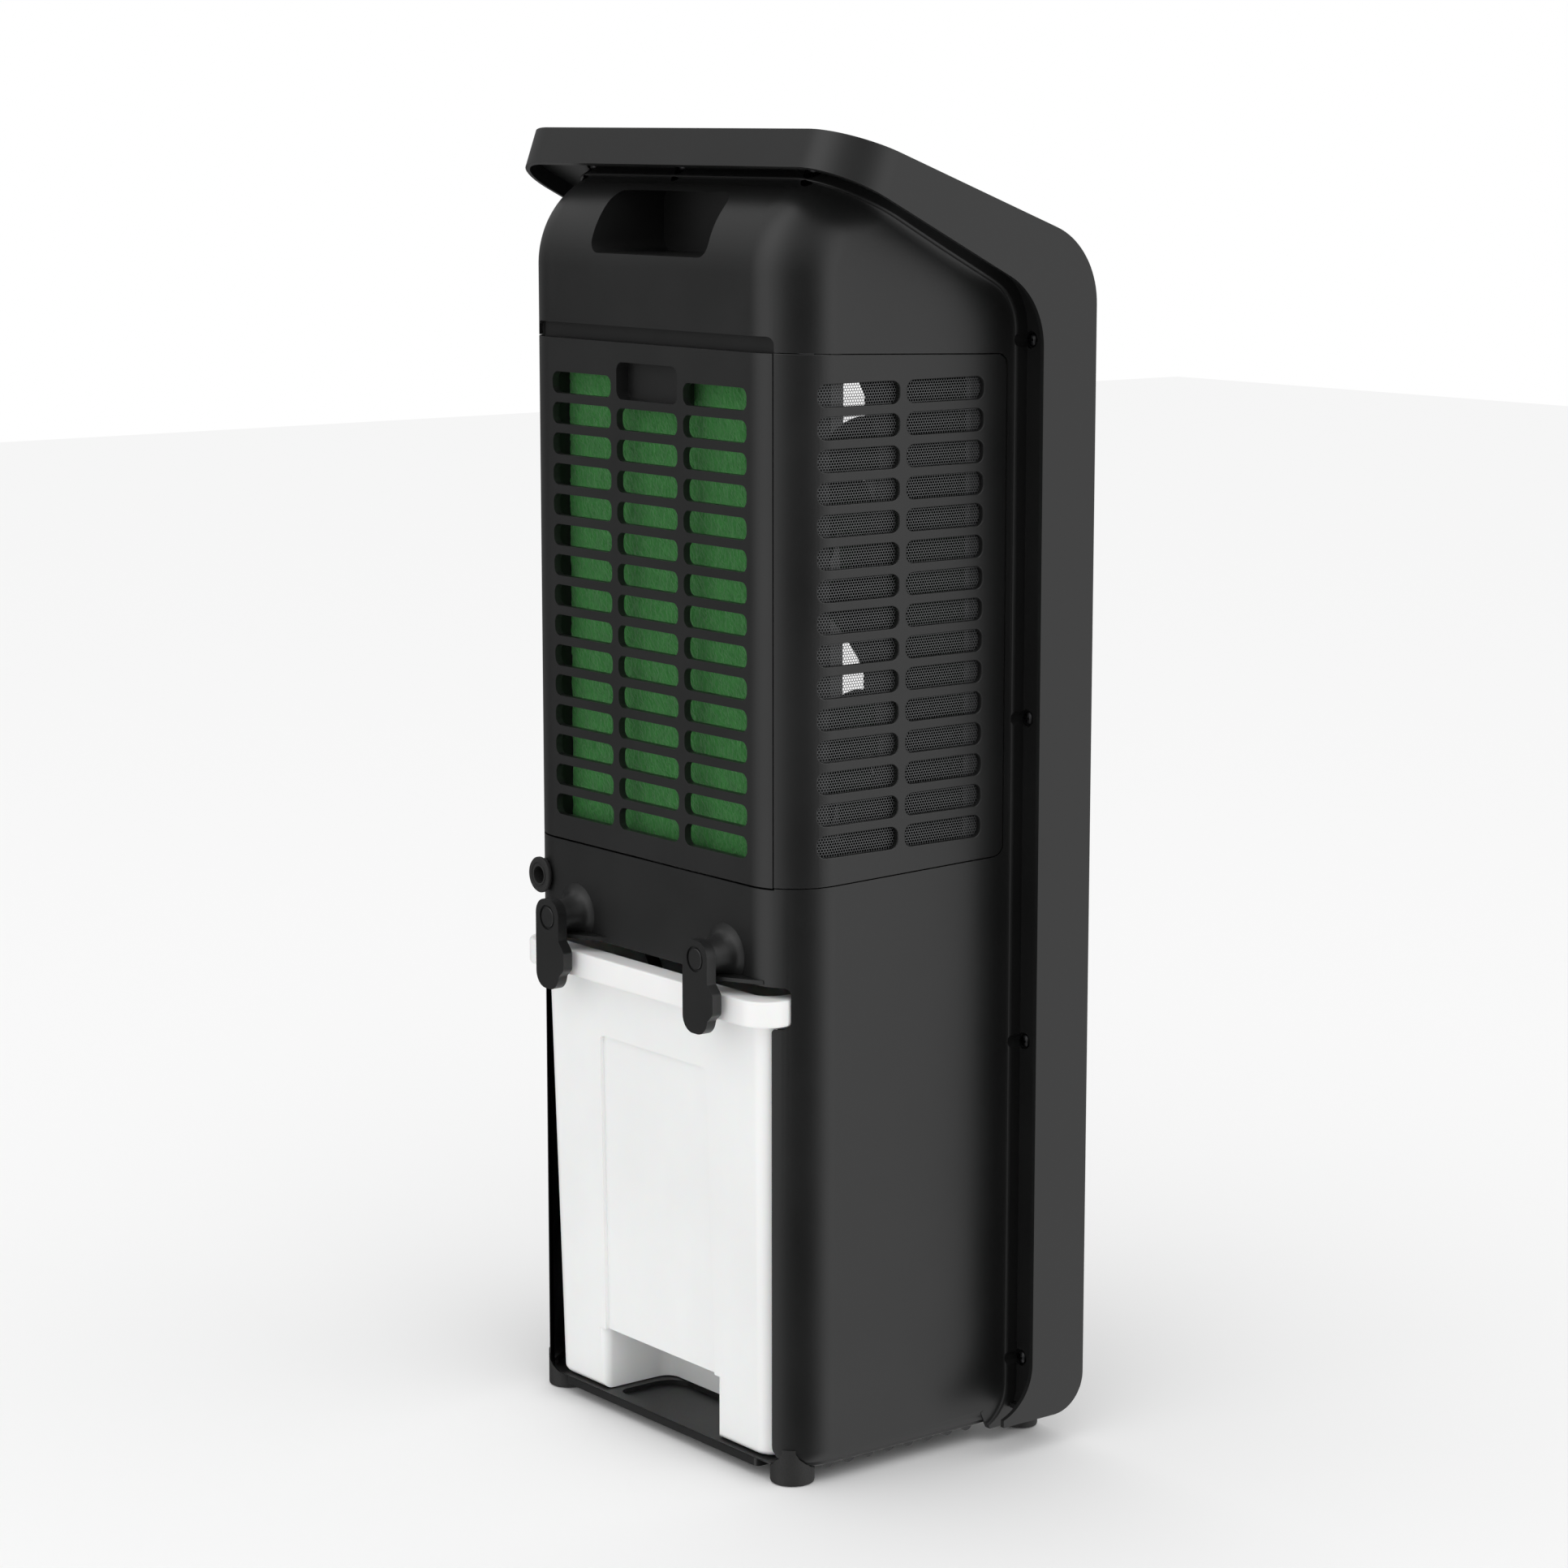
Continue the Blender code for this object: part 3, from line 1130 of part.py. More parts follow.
def shell_screws():
    """Screws through the side flanges into the front shell."""
    for name, side in SIDES.items():
        for i, z in enumerate(SIDE_SCREWS_Z):
            head = cylinder((side * SCREW_X, 0, z), SCREW_R, at_depth(FLANGE_DEPTH - 0.0004),
                            at_depth(FLANGE_DEPTH - 0.0026), "Y", 12)
            part("shell_screw_%s_%d" % (name, i + 1), head, DARK_STEEL)


front_shell()
rear_housing()
rear_grille()
pad_frame()
cooling_pad()
for SIDE_NAME, SIDE_SIGN in SIDES.items():
    side_grille(SIDE_NAME, SIDE_SIGN)
    side_mesh(SIDE_NAME, SIDE_SIGN)
base_plate()
feet()
water_tank()
latches()
cord_gland()
fan_shroud()
fans()
motors()
louvre_frame()
louvres()
vanes()
vane_link()
swing_motor()
control_panel()
display_window()
buttons()
control_board()
water_pump()
pump_impeller()
water_hose()
drip_tray()
shell_screws()
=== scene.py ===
"""Looks for the tower evaporative air cooler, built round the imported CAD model. Metres, front at -Y."""

import json
import math

import bmesh
import bpy
import numpy as np
from mathutils import Matrix, Vector, noise

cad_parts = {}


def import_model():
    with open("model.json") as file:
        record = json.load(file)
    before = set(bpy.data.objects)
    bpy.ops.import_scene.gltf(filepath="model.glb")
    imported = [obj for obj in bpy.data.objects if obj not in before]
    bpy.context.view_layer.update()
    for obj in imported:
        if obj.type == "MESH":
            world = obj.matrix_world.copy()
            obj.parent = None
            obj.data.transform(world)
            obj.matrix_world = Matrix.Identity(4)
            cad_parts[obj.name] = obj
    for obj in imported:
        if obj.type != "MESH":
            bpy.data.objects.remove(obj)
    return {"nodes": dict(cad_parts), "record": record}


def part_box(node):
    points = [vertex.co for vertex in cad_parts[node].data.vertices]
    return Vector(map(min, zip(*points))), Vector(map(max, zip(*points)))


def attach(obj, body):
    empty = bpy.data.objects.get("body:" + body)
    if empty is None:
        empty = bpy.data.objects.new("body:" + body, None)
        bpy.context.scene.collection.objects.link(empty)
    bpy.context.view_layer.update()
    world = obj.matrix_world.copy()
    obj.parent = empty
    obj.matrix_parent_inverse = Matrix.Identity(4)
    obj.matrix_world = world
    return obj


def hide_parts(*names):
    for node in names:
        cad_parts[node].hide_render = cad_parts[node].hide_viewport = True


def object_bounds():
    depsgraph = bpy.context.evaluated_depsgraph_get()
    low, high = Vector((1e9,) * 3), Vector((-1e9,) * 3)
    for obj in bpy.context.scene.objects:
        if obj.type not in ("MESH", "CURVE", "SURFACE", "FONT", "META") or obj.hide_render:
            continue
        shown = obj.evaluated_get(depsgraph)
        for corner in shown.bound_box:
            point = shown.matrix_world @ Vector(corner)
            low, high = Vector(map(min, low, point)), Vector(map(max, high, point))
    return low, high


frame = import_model()
CAD_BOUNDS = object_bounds()
NODES = frame["nodes"]
BODY_OF = {node: body for body, nodes in frame["record"]["behaviour"]["bodies"].items() for node in nodes}
SLOT_OF = {row["node"]: row["material_slot"] for row in frame["record"]["subparts"]}

# Sizes read from the frame.
LOW, HIGH = CAD_BOUNDS
HEIGHT = HIGH.z
SHELL_HALF = HIGH.x
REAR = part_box("rear_grille")[1].y
PANEL_BOTTOM, PANEL_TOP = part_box("rear_grille")[0].z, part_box("rear_grille")[1].z
BODY_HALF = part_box("side_grille_right")[1].x
FRONT_DEPTH = REAR - LOW.y
TANK_LOW, TANK_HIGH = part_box("water_tank")
LATCH_LOW, LATCH_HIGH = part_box("latch_right")
FRAME_LOW, FRAME_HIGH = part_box("louvre_frame")

# Shell walls and the rear housing, as in the CAD model.
WALL = 0.0025
GAP = 0.0004
CORNER_R = 0.031
LEAN_Z = 0.614
LEAN_R = 0.050
LEAN_ANGLE = math.radians(62)
BODY_BOTTOM = 0.0085
BOTTOM_R = 0.010
SEAM_ANGLE = math.radians(27.5)
FLANGE_DEPTH = 0.151
FLANGE_THICK = 0.003
FLANGE_SLOPE = 0.4968
SLOPE_ANGLE = math.atan(FLANGE_SLOPE)
FLANGE_REAR_Z = 0.6756
FLANGE_REF_DEPTH = 0.0102
FLANGE_BEND_R = 0.033
FLANGE_FOOT_R = 0.028
FLANGE_FOOT_Z = 0.0020
GROOVE_TOP = 0.585

# Front shell.
LID_TILT = math.radians(20.2)
LID_REAR_DEPTH = 0.0169
LID_CORNER_R = 0.033
BEND_R = 0.0415
SHELL_BOTTOM = 0.0175
SHELL_BOTTOM_R = 0.020
RIM_DEPTH = 0.141
RIM_REF_DEPTH = 0.1209
RIM_REF_Z = 0.6117
PANEL_ALONG = 0.085
PANEL_HALF = (0.070, 0.028)

# Air openings.
SLOT_PITCH = 0.016
SLOT_HEIGHT = 0.0113
SLOT_ROWS = 15
SLOT_FIRST_Z = 0.548
SLOT_R = 0.0043
REAR_COLUMNS = ((-0.0837, -0.0312), (-0.0262, 0.0263), (0.0313, 0.0838))
SIDE_COLUMNS = (0.020, 0.075)
SIDE_SLOT_WIDTH = 0.050
SIDE_TOP = (0.5775, 0.5725)
SIDE_BOTTOM = (0.3111, 0.3150)
SIDE_FRONT_DEPTH = 0.1402
FAN_CENTRES_Z = (0.371, 0.514)
SIDES = {"left": -1, "right": 1}

ARC_STEP = math.radians(6)
EDGE_ANGLE = math.radians(38)
FAR = 0.2

WORLD_LIGHT = 1.02
BACKGROUND = 1.0
KEY_POWER = 9.0


def at_depth(depth):
    """World Y of a distance behind the body's rear face."""
    return REAR - depth


def centre_xz(node):
    """X and Z of the middle of a CAD node."""
    low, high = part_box(node)
    return (low.x + high.x) / 2, (low.z + high.z) / 2


# ---- camera


def camera():
    made = bpy.data.objects.new("camera", bpy.data.cameras.new("camera"))
    bpy.context.scene.collection.objects.link(made)
    made.location = (-1.6147, 1.2449, 0.6925)
    made.rotation_mode = "QUATERNION"
    made.rotation_quaternion = Vector((0.7782, -0.60483, -0.16906)).to_track_quat("-Z", "Y")
    made.data.lens = 89.85
    made.data.sensor_width = 36.0
    bpy.context.scene.camera = made


# ---- outlines and solids


def arc(centre, radius, start, end, step=ARC_STEP):
    steps = max(1, math.ceil(abs(end - start) / step - 0.001))
    angles = [start + (end - start) * i / steps for i in range(steps + 1)]
    return [(centre[0] + radius * math.cos(a), centre[1] + radius * math.sin(a)) for a in angles]


def rounded(corners, step=None):
    """A closed outline from (x, y, radius) corners, each rounded by its radius."""
    points = []
    for i, (x, y, radius) in enumerate(corners):
        here = Vector((x, y))
        if radius == 0:
            points.append((x, y))
            continue
        before = (Vector(corners[i - 1][:2]) - here).normalized()
        after = (Vector(corners[(i + 1) % len(corners)][:2]) - here).normalized()
        half = before.angle(after) / 2
        centre = here + (before + after).normalized() * radius / math.sin(half)
        first = here + before * radius / math.tan(half) - centre
        last = here + after * radius / math.tan(half) - centre
        start = math.atan2(first.y, first.x)
        sweep = (math.atan2(last.y, last.x) - start + math.pi) % (2 * math.pi) - math.pi
        fine = step or (ARC_STEP if radius > 0.008 else math.radians(15))
        points += arc(centre, radius, start, start + sweep, fine)
    return points


def even(right, step=None):
    """A closed outline from the corners of its right side, lowest first, and the same mirrored."""
    return rounded([*right, *[(-x, y, radius) for x, y, radius in reversed(right)]], step)


def box_outline(low, high, radius=0.0):
    corners = [(low[0], low[1]), (high[0], low[1]), (high[0], high[1]), (low[0], high[1])]
    return rounded([(x, y, radius) for x, y in corners])


PLANES = {
    "XY": Matrix.Identity(4),
    "XZ": Matrix(((1, 0, 0, 0), (0, 0, 1, 0), (0, 1, 0, 0), (0, 0, 0, 1))),
    "YZ": Matrix(((0, 0, 1, 0), (1, 0, 0, 0), (0, 1, 0, 0), (0, 0, 0, 1))),
}


def finished(work, shape):
    """Turns a bmesh's faces outward and writes it into a mesh."""
    bmesh.ops.recalc_face_normals(work, faces=work.faces)
    work.to_mesh(shape)
    work.free()
    return shape


def clean(shape):
    work = bmesh.new()
    work.from_mesh(shape)
    bmesh.ops.remove_doubles(work, verts=work.verts, dist=0.00001)
    return finished(work, shape)


def solid(outlines, plane, low, high, matrix=None):
    """A mesh of flat outlines in a plane, extruded from low to high along its normal."""
    curve = bpy.data.curves.new("outline", "CURVE")
    curve.dimensions = "2D"
    curve.fill_mode = "BOTH"
    curve.extrude = (high - low) / 2
    for points in outlines:
        spline = curve.splines.new("POLY")
        spline.points.add(len(points) - 1)
        spline.use_cyclic_u = True
        for point, (x, y) in zip(spline.points, points):
            point.co = (x, y, 0, 1)
    holder = bpy.data.objects.new("outline", curve)
    bpy.context.scene.collection.objects.link(holder)
    bpy.context.view_layer.update()
    shape = bpy.data.meshes.new_from_object(holder.evaluated_get(bpy.context.evaluated_depsgraph_get()))
    bpy.data.objects.remove(holder, do_unlink=True)
    shape.transform(Matrix.Translation((0, 0, (low + high) / 2)))
    shape.transform(PLANES[plane])
    if matrix:
        shape.transform(matrix)
    return clean(shape)


def box(low, high):
    return solid([box_outline(low[:2], high[:2])], "XY", low[2], high[2])


def slab(half, depths, heights):
    """A box that reaches equally far to both sides, between two depths and two heights."""
    return box((-half, at_depth(depths[1]), heights[0]), (half, at_depth(depths[0]), heights[1]))


def layer(low, high):
    """Everything between two heights."""
    return box((-FAR, -FAR, low), (FAR, FAR, high))


def skinned(rings, split_end=False):
    """A closed solid through rings of points; one face closes the last ring, or two where it bends."""
    work = bmesh.new()
    lines = [[work.verts.new(point) for point in ring] for ring in rings]
    for low, high in zip(lines, lines[1:]):
        for j in range(len(low)):
            k = (j + 1) % len(low)
            work.faces.new((low[j], low[k], high[k], high[j]))
    work.faces.new(lines[0])
    end = lines[-1]
    if split_end:
        work.faces.new(end[1:-1])
        work.faces.new((end[0], end[1], end[-2], end[-1]))
    else:
        work.faces.new(end)
    return finished(work, bpy.data.meshes.new("skin"))


def turned(profile, centre, axis="Z", sides=64):
    """A closed round solid from (radius, height) points that start and end on the axis."""
    work = bmesh.new()
    rings = []
    for radius, height in profile:
        turns = [math.tau * i / sides for i in range(sides if radius else 1)]
        rings.append([work.verts.new((radius * math.cos(a), radius * math.sin(a), height)) for a in turns])
    for low, high in zip(rings, rings[1:]):
        for i in range(sides):
            j = (i + 1) % sides
            corners = [low[i % len(low)], low[j % len(low)], high[j % len(high)], high[i % len(high)]]
            work.faces.new(list(dict.fromkeys(corners)))
    shape = finished(work, bpy.data.meshes.new("turned"))
    turn = {"Z": Matrix.Identity(4), "Y": Matrix.Rotation(-math.pi / 2, 4, "X"),
            "X": Matrix.Rotation(math.pi / 2, 4, "Y")}[axis]
    shape.transform(Matrix.Translation(Vector(centre)) @ turn)
    return shape


def cylinder(centre, radius, low, high, axis="Z", sides=48):
    return turned([(0, low), (radius, low), (radius, high), (0, high)], centre, axis, sides)


def combine(shape, operation, *others):
    """The mesh after joining, cutting or intersecting it with each of the others."""
    holder = bpy.data.objects.new("work", shape)
    bpy.context.scene.collection.objects.link(holder)
    used = []
    for other in others:
        item = bpy.data.objects.new("cutter", other)
        bpy.context.scene.collection.objects.link(item)
        used.append(item)
        step = holder.modifiers.new(operation, "BOOLEAN")
        step.operation = operation
        step.solver = "EXACT"
        step.object = item
    bpy.context.view_layer.update()
    made = bpy.data.meshes.new_from_object(holder.evaluated_get(bpy.context.evaluated_depsgraph_get()))
    for item in [holder, *used]:
        bpy.data.objects.remove(item, do_unlink=True)
    return made


def cut(shape, *others):
    return combine(shape, "DIFFERENCE", *others)


def join(shape, *others):
    return combine(shape, "UNION", *others)


def common(shape, *others):
    return combine(shape, "INTERSECT", *others)


def mirrored(shape):
    shape.transform(Matrix.Scale(-1, 4, (1, 0, 0)))
    shape.flip_normals()
    return shape


def smooth(item, bevel=0.0, segments=2):
    """Rounds the hard edges of a piece and gives it even normals."""
    item.data.shade_smooth()
    item.data.set_sharp_from_angle(angle=EDGE_ANGLE)
    item.modifiers.new("weld", "WELD").merge_threshold = 0.00002
    if bevel:
        step = item.modifiers.new("edges", "BEVEL")
        step.width = bevel
        step.segments = segments
        step.limit_method = "ANGLE"
        step.angle_limit = EDGE_ANGLE
        step.use_clamp_overlap = True
        step.miter_outer = "MITER_ARC"
    normals = item.modifiers.new("normals", "WEIGHTED_NORMAL")
    normals.weight = 90
    normals.keep_sharp = True


def piece(name, shape, look, nodes, bevel=0.0, segments=2, body=None, finish=True):
    """One visible piece that stands for CAD nodes, or rides beside them."""
    nodes = [nodes] if isinstance(nodes, str) else list(nodes)
    shape.name = name
    shape.materials.clear()
    shape.materials.append(look)
    item = bpy.data.objects.new(name, shape)
    bpy.context.scene.collection.objects.link(item)
    if finish:
        smooth(item, bevel, segments)
    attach(item, body or BODY_OF[nodes[0]])
    if nodes:
        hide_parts(*nodes)
    return item


# ---- materials


def add_node(tree, kind, links=(), **values):
    """A shader node with its attributes set, and its sockets linked to outputs or given plain values."""
    made = tree.nodes.new("ShaderNode" + kind)
    for key, value in values.items():
        setattr(made, key, value)
    for socket, source in links:
        if isinstance(source, bpy.types.NodeSocket):
            tree.links.new(source, made.inputs[socket])
        else:
            made.inputs[socket].default_value = source
    return made


class Look:
    """A material under construction: a Principled shader and short calls for the nodes that feed it."""

    def __init__(self, name, colour, roughness, metallic=0.0, **sockets):
        self.material = bpy.data.materials.new(name)
        self.material.use_nodes = True
        self.tree = self.material.node_tree
        self.shader = self.tree.nodes["Principled BSDF"]
        self.shader.inputs["Base Color"].default_value = (*colour, 1.0)
        self.shader.inputs["Roughness"].default_value = roughness
        self.shader.inputs["Metallic"].default_value = metallic
        for socket, value in sockets.items():
            self.shader.inputs[socket.replace("_", " ")].default_value = value
        self.colour = colour
        self.place = self.tree.nodes.new("ShaderNodeTexCoord").outputs["Object"]

    def node(self, kind, links=(), **values):
        return add_node(self.tree, kind, links, **values)

    def noise(self, scale, detail=3.0, roughness=0.55, stretch=None):
        place = self.place
        if stretch:
            place = self.node("Mapping", [("Vector", place), ("Scale", stretch)]).outputs[0]
        return self.node("TexNoise", [("Vector", place), ("Scale", scale), ("Detail", detail),
                                      ("Roughness", roughness)]).outputs["Fac"]

    def spread(self, source, low, high, source_low=0.3, source_high=0.7):
        return self.node("MapRange", [("Value", source), ("From Min", source_low), ("From Max", source_high),
                                      ("To Min", low), ("To Max", high)]).outputs["Result"]

    def math(self, operation, first, second):
        return self.node("Math", [(0, first), (1, second)], operation=operation).outputs[0]

    def mix(self, share, *colours):
        """A blend of two colours, each an output or a plain (red, green, blue)."""
        first, second = [(*colour, 1.0) if isinstance(colour, tuple) else colour for colour in colours]
        return self.node("Mix", [(0, share), (6, first), (7, second)], data_type="RGBA").outputs[2]

    def edges(self, radius):
        """0 on flat stretches, rising to 1 on rounded edges and in creases."""
        soft = self.node("Bevel", [("Radius", radius)], samples=4).outputs[0]
        plain = self.node("NewGeometry").outputs["Normal"]
        same = self.node("VectorMath", [(0, soft), (1, plain)], operation="DOT_PRODUCT").outputs["Value"]
        return self.spread(same, 1.0, 0.0, 0.88, 0.995)

    def bump(self, height, strength, distance):
        bumped = self.node("Bump", [("Height", height), ("Strength", strength), ("Distance", distance)])
        self.set("Normal", bumped.outputs[0])

    def set(self, socket, source):
        self.tree.links.new(source, self.shader.inputs[socket])

    def tone(self, source, first, second, most=1.0):
        """Colours the surface between two tones, by a noise."""
        self.set("Base Color", self.mix(self.spread(source, 0.0, most), first, second))

    def shaded(self, factor):
        return tuple(min(1.0, c * factor) for c in self.colour)


def moulded_plastic(name, colour, roughness, wear=1.5):
    """Injection-moulded plastic: a fine spark-eroded grain, faint flow marks and slightly worn edges."""
    look = Look(name, colour, roughness)
    grit = look.noise(1900.0, 2.0, 0.6)
    cloud = look.noise(16.0, 4.0)
    tint = look.mix(look.spread(cloud, 0.0, 1.0), look.shaded(0.90), look.shaded(1.10))
    speck = look.mix(look.spread(grit, 0.0, 0.5, 0.45, 0.75), tint, look.shaded(1.35))
    worn = look.math("MULTIPLY", look.edges(0.0006), look.spread(look.noise(60.0, 3.0), 0.15, 0.8))
    look.set("Base Color", look.mix(worn, speck, look.shaded(wear)))
    rough = look.spread(cloud, roughness - 0.035, roughness + 0.035)
    rough = look.math("ADD", rough, look.spread(grit, -0.03, 0.03))
    look.set("Roughness", look.math("SUBTRACT", rough, look.math("MULTIPLY", worn, 0.08)))
    look.bump(look.math("ADD", grit, look.math("MULTIPLY", look.noise(420.0, 2.0), 0.5)), 0.35, 0.00006)
    return look.material


def tank_plastic():
    """Blow-moulded white polypropylene: milky, slightly translucent, with a soft pebble and wall marks, and painted
    shade that darkens its rounded edges and creases.
    """
    look = Look("white_tank", (0.90, 0.90, 0.895), 0.42, Subsurface_Weight=0.12, Subsurface_Scale=0.004)
    cloud = look.noise(9.0, 4.0)
    streak = look.noise(30.0, 3.0, stretch=(1.0, 1.0, 0.12))
    base = look.mix(look.spread(cloud, 0.0, 1.0), (0.88, 0.88, 0.875), (0.93, 0.93, 0.925))
    base = look.mix(look.spread(streak, 0.0, 0.3), base, (0.85, 0.855, 0.85))
    # Painted shade: the tank's colour is darkened along its rounded edges and in its creases.
    edge_crease_shade = look.math("MULTIPLY", look.edges(0.0012), 0.10)
    look.set("Base Color", look.mix(edge_crease_shade, base, (0.60, 0.60, 0.58)))
    look.set("Roughness", look.spread(cloud, 0.36, 0.50))
    look.bump(look.math("ADD", look.noise(900.0, 2.0), look.math("MULTIPLY", streak, 0.8)), 0.25, 0.00008)
    return look.material


def pad_fibre():
    """Wet cellulose pad: matted green fibres lying in waves, with painted shade that makes the hollows darker."""
    look = Look("green_fibre", (0.040, 0.230, 0.046), 0.92, Sheen_Weight=0.25, Sheen_Roughness=0.5)
    fibre = look.noise(900.0, 5.0, 0.7, stretch=(1.0, 1.0, 0.35))
    clump = look.noise(120.0, 4.0, 0.6)
    # Painted shade: the clump noise that sinks the bump also darkens the colour, so the hollows are darker.
    base = look.mix(look.spread(clump, 0.0, 1.0), (0.034, 0.200, 0.040), (0.046, 0.262, 0.052))
    base = look.mix(look.spread(fibre, 0.0, 0.8, 0.5, 0.75), base, (0.070, 0.310, 0.070))
    look.set("Base Color", base)
    look.set("Roughness", look.spread(clump, 0.86, 0.97))
    look.bump(look.math("ADD", fibre, clump), 0.8, 0.0005)
    return look.material


def rubber_look():
    look = Look("black_rubber", (0.011, 0.011, 0.011), 0.68)
    grit = look.noise(1400.0, 3.0, 0.65)
    look.tone(look.noise(35.0, 5.0, 0.6), (0.011, 0.011, 0.011), (0.030, 0.029, 0.027), 0.4)
    look.set("Roughness", look.spread(grit, 0.58, 0.78))
    look.bump(grit, 0.5, 0.0001)
    return look.material


def metal(name, dark, pale):
    """Plated steel: cloudy crystals and fine brushing between two tones."""
    look = Look(name, pale, 0.34, 1.0)
    crystals = look.node("TexVoronoi", [("Vector", look.place), ("Scale", 260.0)]).outputs["Color"]
    brushed = look.noise(700.0, 2.0, stretch=(1.0, 1.0, 0.08))
    look.tone(brushed, dark, pale)
    look.set("Roughness", look.spread(crystals, 0.26, 0.46, 0.0, 1.0))
    look.bump(brushed, 0.3, 0.00005)
    return look.material


def board_look():
    """Lacquered circuit board with a lighter grid of copper tracks under the green."""
    look = Look("circuit_board", (0.015, 0.09, 0.035), 0.35, Coat_Weight=0.5)
    tracks = look.node("TexBrick", [("Vector", look.place), ("Scale", 90.0), ("Mortar Size", 0.06),
                                    ("Color1", (0.0, 0.0, 0.0, 1.0)), ("Color2", (0.2, 0.2, 0.2, 1.0)),
                                    ("Mortar", (1.0, 1.0, 1.0, 1.0))])
    look.set("Base Color", look.mix(tracks.outputs["Color"], (0.012, 0.075, 0.030), (0.05, 0.20, 0.07)))
    look.set("Roughness", look.spread(look.noise(300.0), 0.28, 0.42))
    look.bump(tracks.outputs["Fac"], 0.4, 0.00005)
    return look.material


def smoked_window():
    look = Look("smoked_window", (0.008, 0.008, 0.010), 0.09, Coat_Weight=0.6, Coat_Roughness=0.04)
    smear = look.noise(45.0, 5.0, 0.6)
    look.set("Roughness", look.spread(smear, 0.06, 0.20))
    look.tone(smear, (0.006, 0.006, 0.008), (0.014, 0.014, 0.017))
    look.bump(look.noise(12.0, 1.0), 0.05, 0.0001)
    return look.material


def mesh_look():
    """Woven nylon of the dust screen."""
    look = Look("nylon_mesh", (0.080, 0.082, 0.084), 0.55)
    thread = look.noise(2400.0, 2.0)
    look.tone(thread, (0.060, 0.062, 0.064), (0.105, 0.107, 0.109))
    look.set("Roughness", look.spread(thread, 0.45, 0.65))
    look.bump(thread, 0.5, 0.00005)
    return look.material


BLACK = moulded_plastic("black_plastic", (0.0088, 0.0090, 0.0090), 0.38)
GRILLE = moulded_plastic("grille_plastic", (0.0092, 0.0094, 0.0094), 0.40)
DARK = moulded_plastic("inner_plastic", (0.0095, 0.0100, 0.0100), 0.52, wear=1.3)
GREY = moulded_plastic("grey_plastic", (0.030, 0.031, 0.032), 0.38, wear=1.25)
BUTTON = moulded_plastic("button_plastic", (0.085, 0.087, 0.09), 0.34, wear=1.2)
WHITE = tank_plastic()
GREEN = pad_fibre()
RUBBER = rubber_look()
STEEL = metal("zinc_steel", (0.44, 0.44, 0.45), (0.60, 0.60, 0.61))
DARK_STEEL = metal("dark_steel", (0.035, 0.035, 0.036), (0.065, 0.065, 0.067))
BOARD = board_look()
WINDOW = smoked_window()
NYLON = mesh_look()


# ---- shared shapes


def flange_z(depth, lift=0.0):
    """Height of the flange's lower face on the slanted top."""
    return FLANGE_REAR_Z - (depth - FLANGE_REF_DEPTH) * FLANGE_SLOPE + lift / math.cos(SLOPE_ANGLE)


def lid_matrix(along=0.0, lift=0.0):
    """Frame of the slanted lid: local -Y runs down the slope, local Z is its outward normal."""
    origin = Matrix.Translation((0, at_depth(LID_REAR_DEPTH), HEIGHT))
    return origin @ Matrix.Rotation(LID_TILT, 4, "X") @ Matrix.Translation((0, -along, lift))


def lid_prism(inset):
    """Everything under the lid's plan, which has rounded rear corners."""
    half = SHELL_HALF - inset
    plan = even([(half, -0.9, 0), (half, -inset, LID_CORNER_R - inset)], math.radians(4))
    return solid([plan], "XY", -0.75, 0.2, lid_matrix())


def lid_z(depth, inset=0.0):
    return HEIGHT - (depth - LID_REAR_DEPTH) * math.tan(LID_TILT) - inset / math.cos(LID_TILT)


def smooth_body(inset, low, bottom_r, front_depth):
    """The rear housing as one solid: rounded rear corners that follow the lean, and a rounded lower edge."""
    rear = at_depth(inset)
    rows = []
    for i in range(5 if bottom_r else 0):
        turn = math.radians(90) * i / 5
        height = low + bottom_r * (1 - math.cos(turn))
        rows.append((Vector((rear, height)), Vector((-1, 0)), bottom_r * (1 - math.sin(turn))))
    rows.append((Vector((rear, low + bottom_r)), Vector((-1, 0)), 0.0))
    for i in range(25):
        turn = LEAN_ANGLE * i / 24
        out = Vector((math.cos(turn), math.sin(turn)))
        rows.append((Vector((at_depth(LEAN_R), LEAN_Z)) + out * (LEAN_R - inset), -out, 0.0))
    rise = Vector((-math.sin(LEAN_ANGLE), math.cos(LEAN_ANGLE)))
    rows.append((rows[-1][0] + rise * 0.035, rows[-1][1], 0.0))
    radius = CORNER_R - inset
    rings = []
    for point, inward, shrink in rows:
        own = radius - shrink
        right = []
        for i in range(21):
            turn = math.radians(90) * i / 20
            place = point + inward * (radius - own * math.cos(turn))
            right.append((BODY_HALF - CORNER_R + own * math.sin(turn), place.x, place.y))
        right.append((right[-1][0], at_depth(front_depth), right[-1][2]))
        rings.append([*[(-x, y, z) for x, y, z in reversed(right)], *right])
    return skinned(rings, split_end=True)


def flange_line(lift, drop_z=0.0):
    """The flange's line in the side view, from the slanted top down to the foot, lifted off it by lift."""
    front = FLANGE_DEPTH - lift
    return rounded([
        (at_depth(0.0), flange_z(0.0, -lift), 0),
        (at_depth(front), flange_z(front, -lift), FLANGE_BEND_R - lift),
        (at_depth(front), FLANGE_FOOT_Z + lift - drop_z, FLANGE_FOOT_R - min(lift, 0.012)),
        (at_depth(0.118), FLANGE_FOOT_Z + lift - drop_z, 0),
    ])


def behind_flange():
    """Everything on the body's side of the flange's face."""
    line = flange_line(0.0)
    return solid([[*line, (REAR + 0.05, line[-1][1]), (REAR + 0.05, line[0][1])]], "YZ", -0.2, 0.2)


# ---- front shell

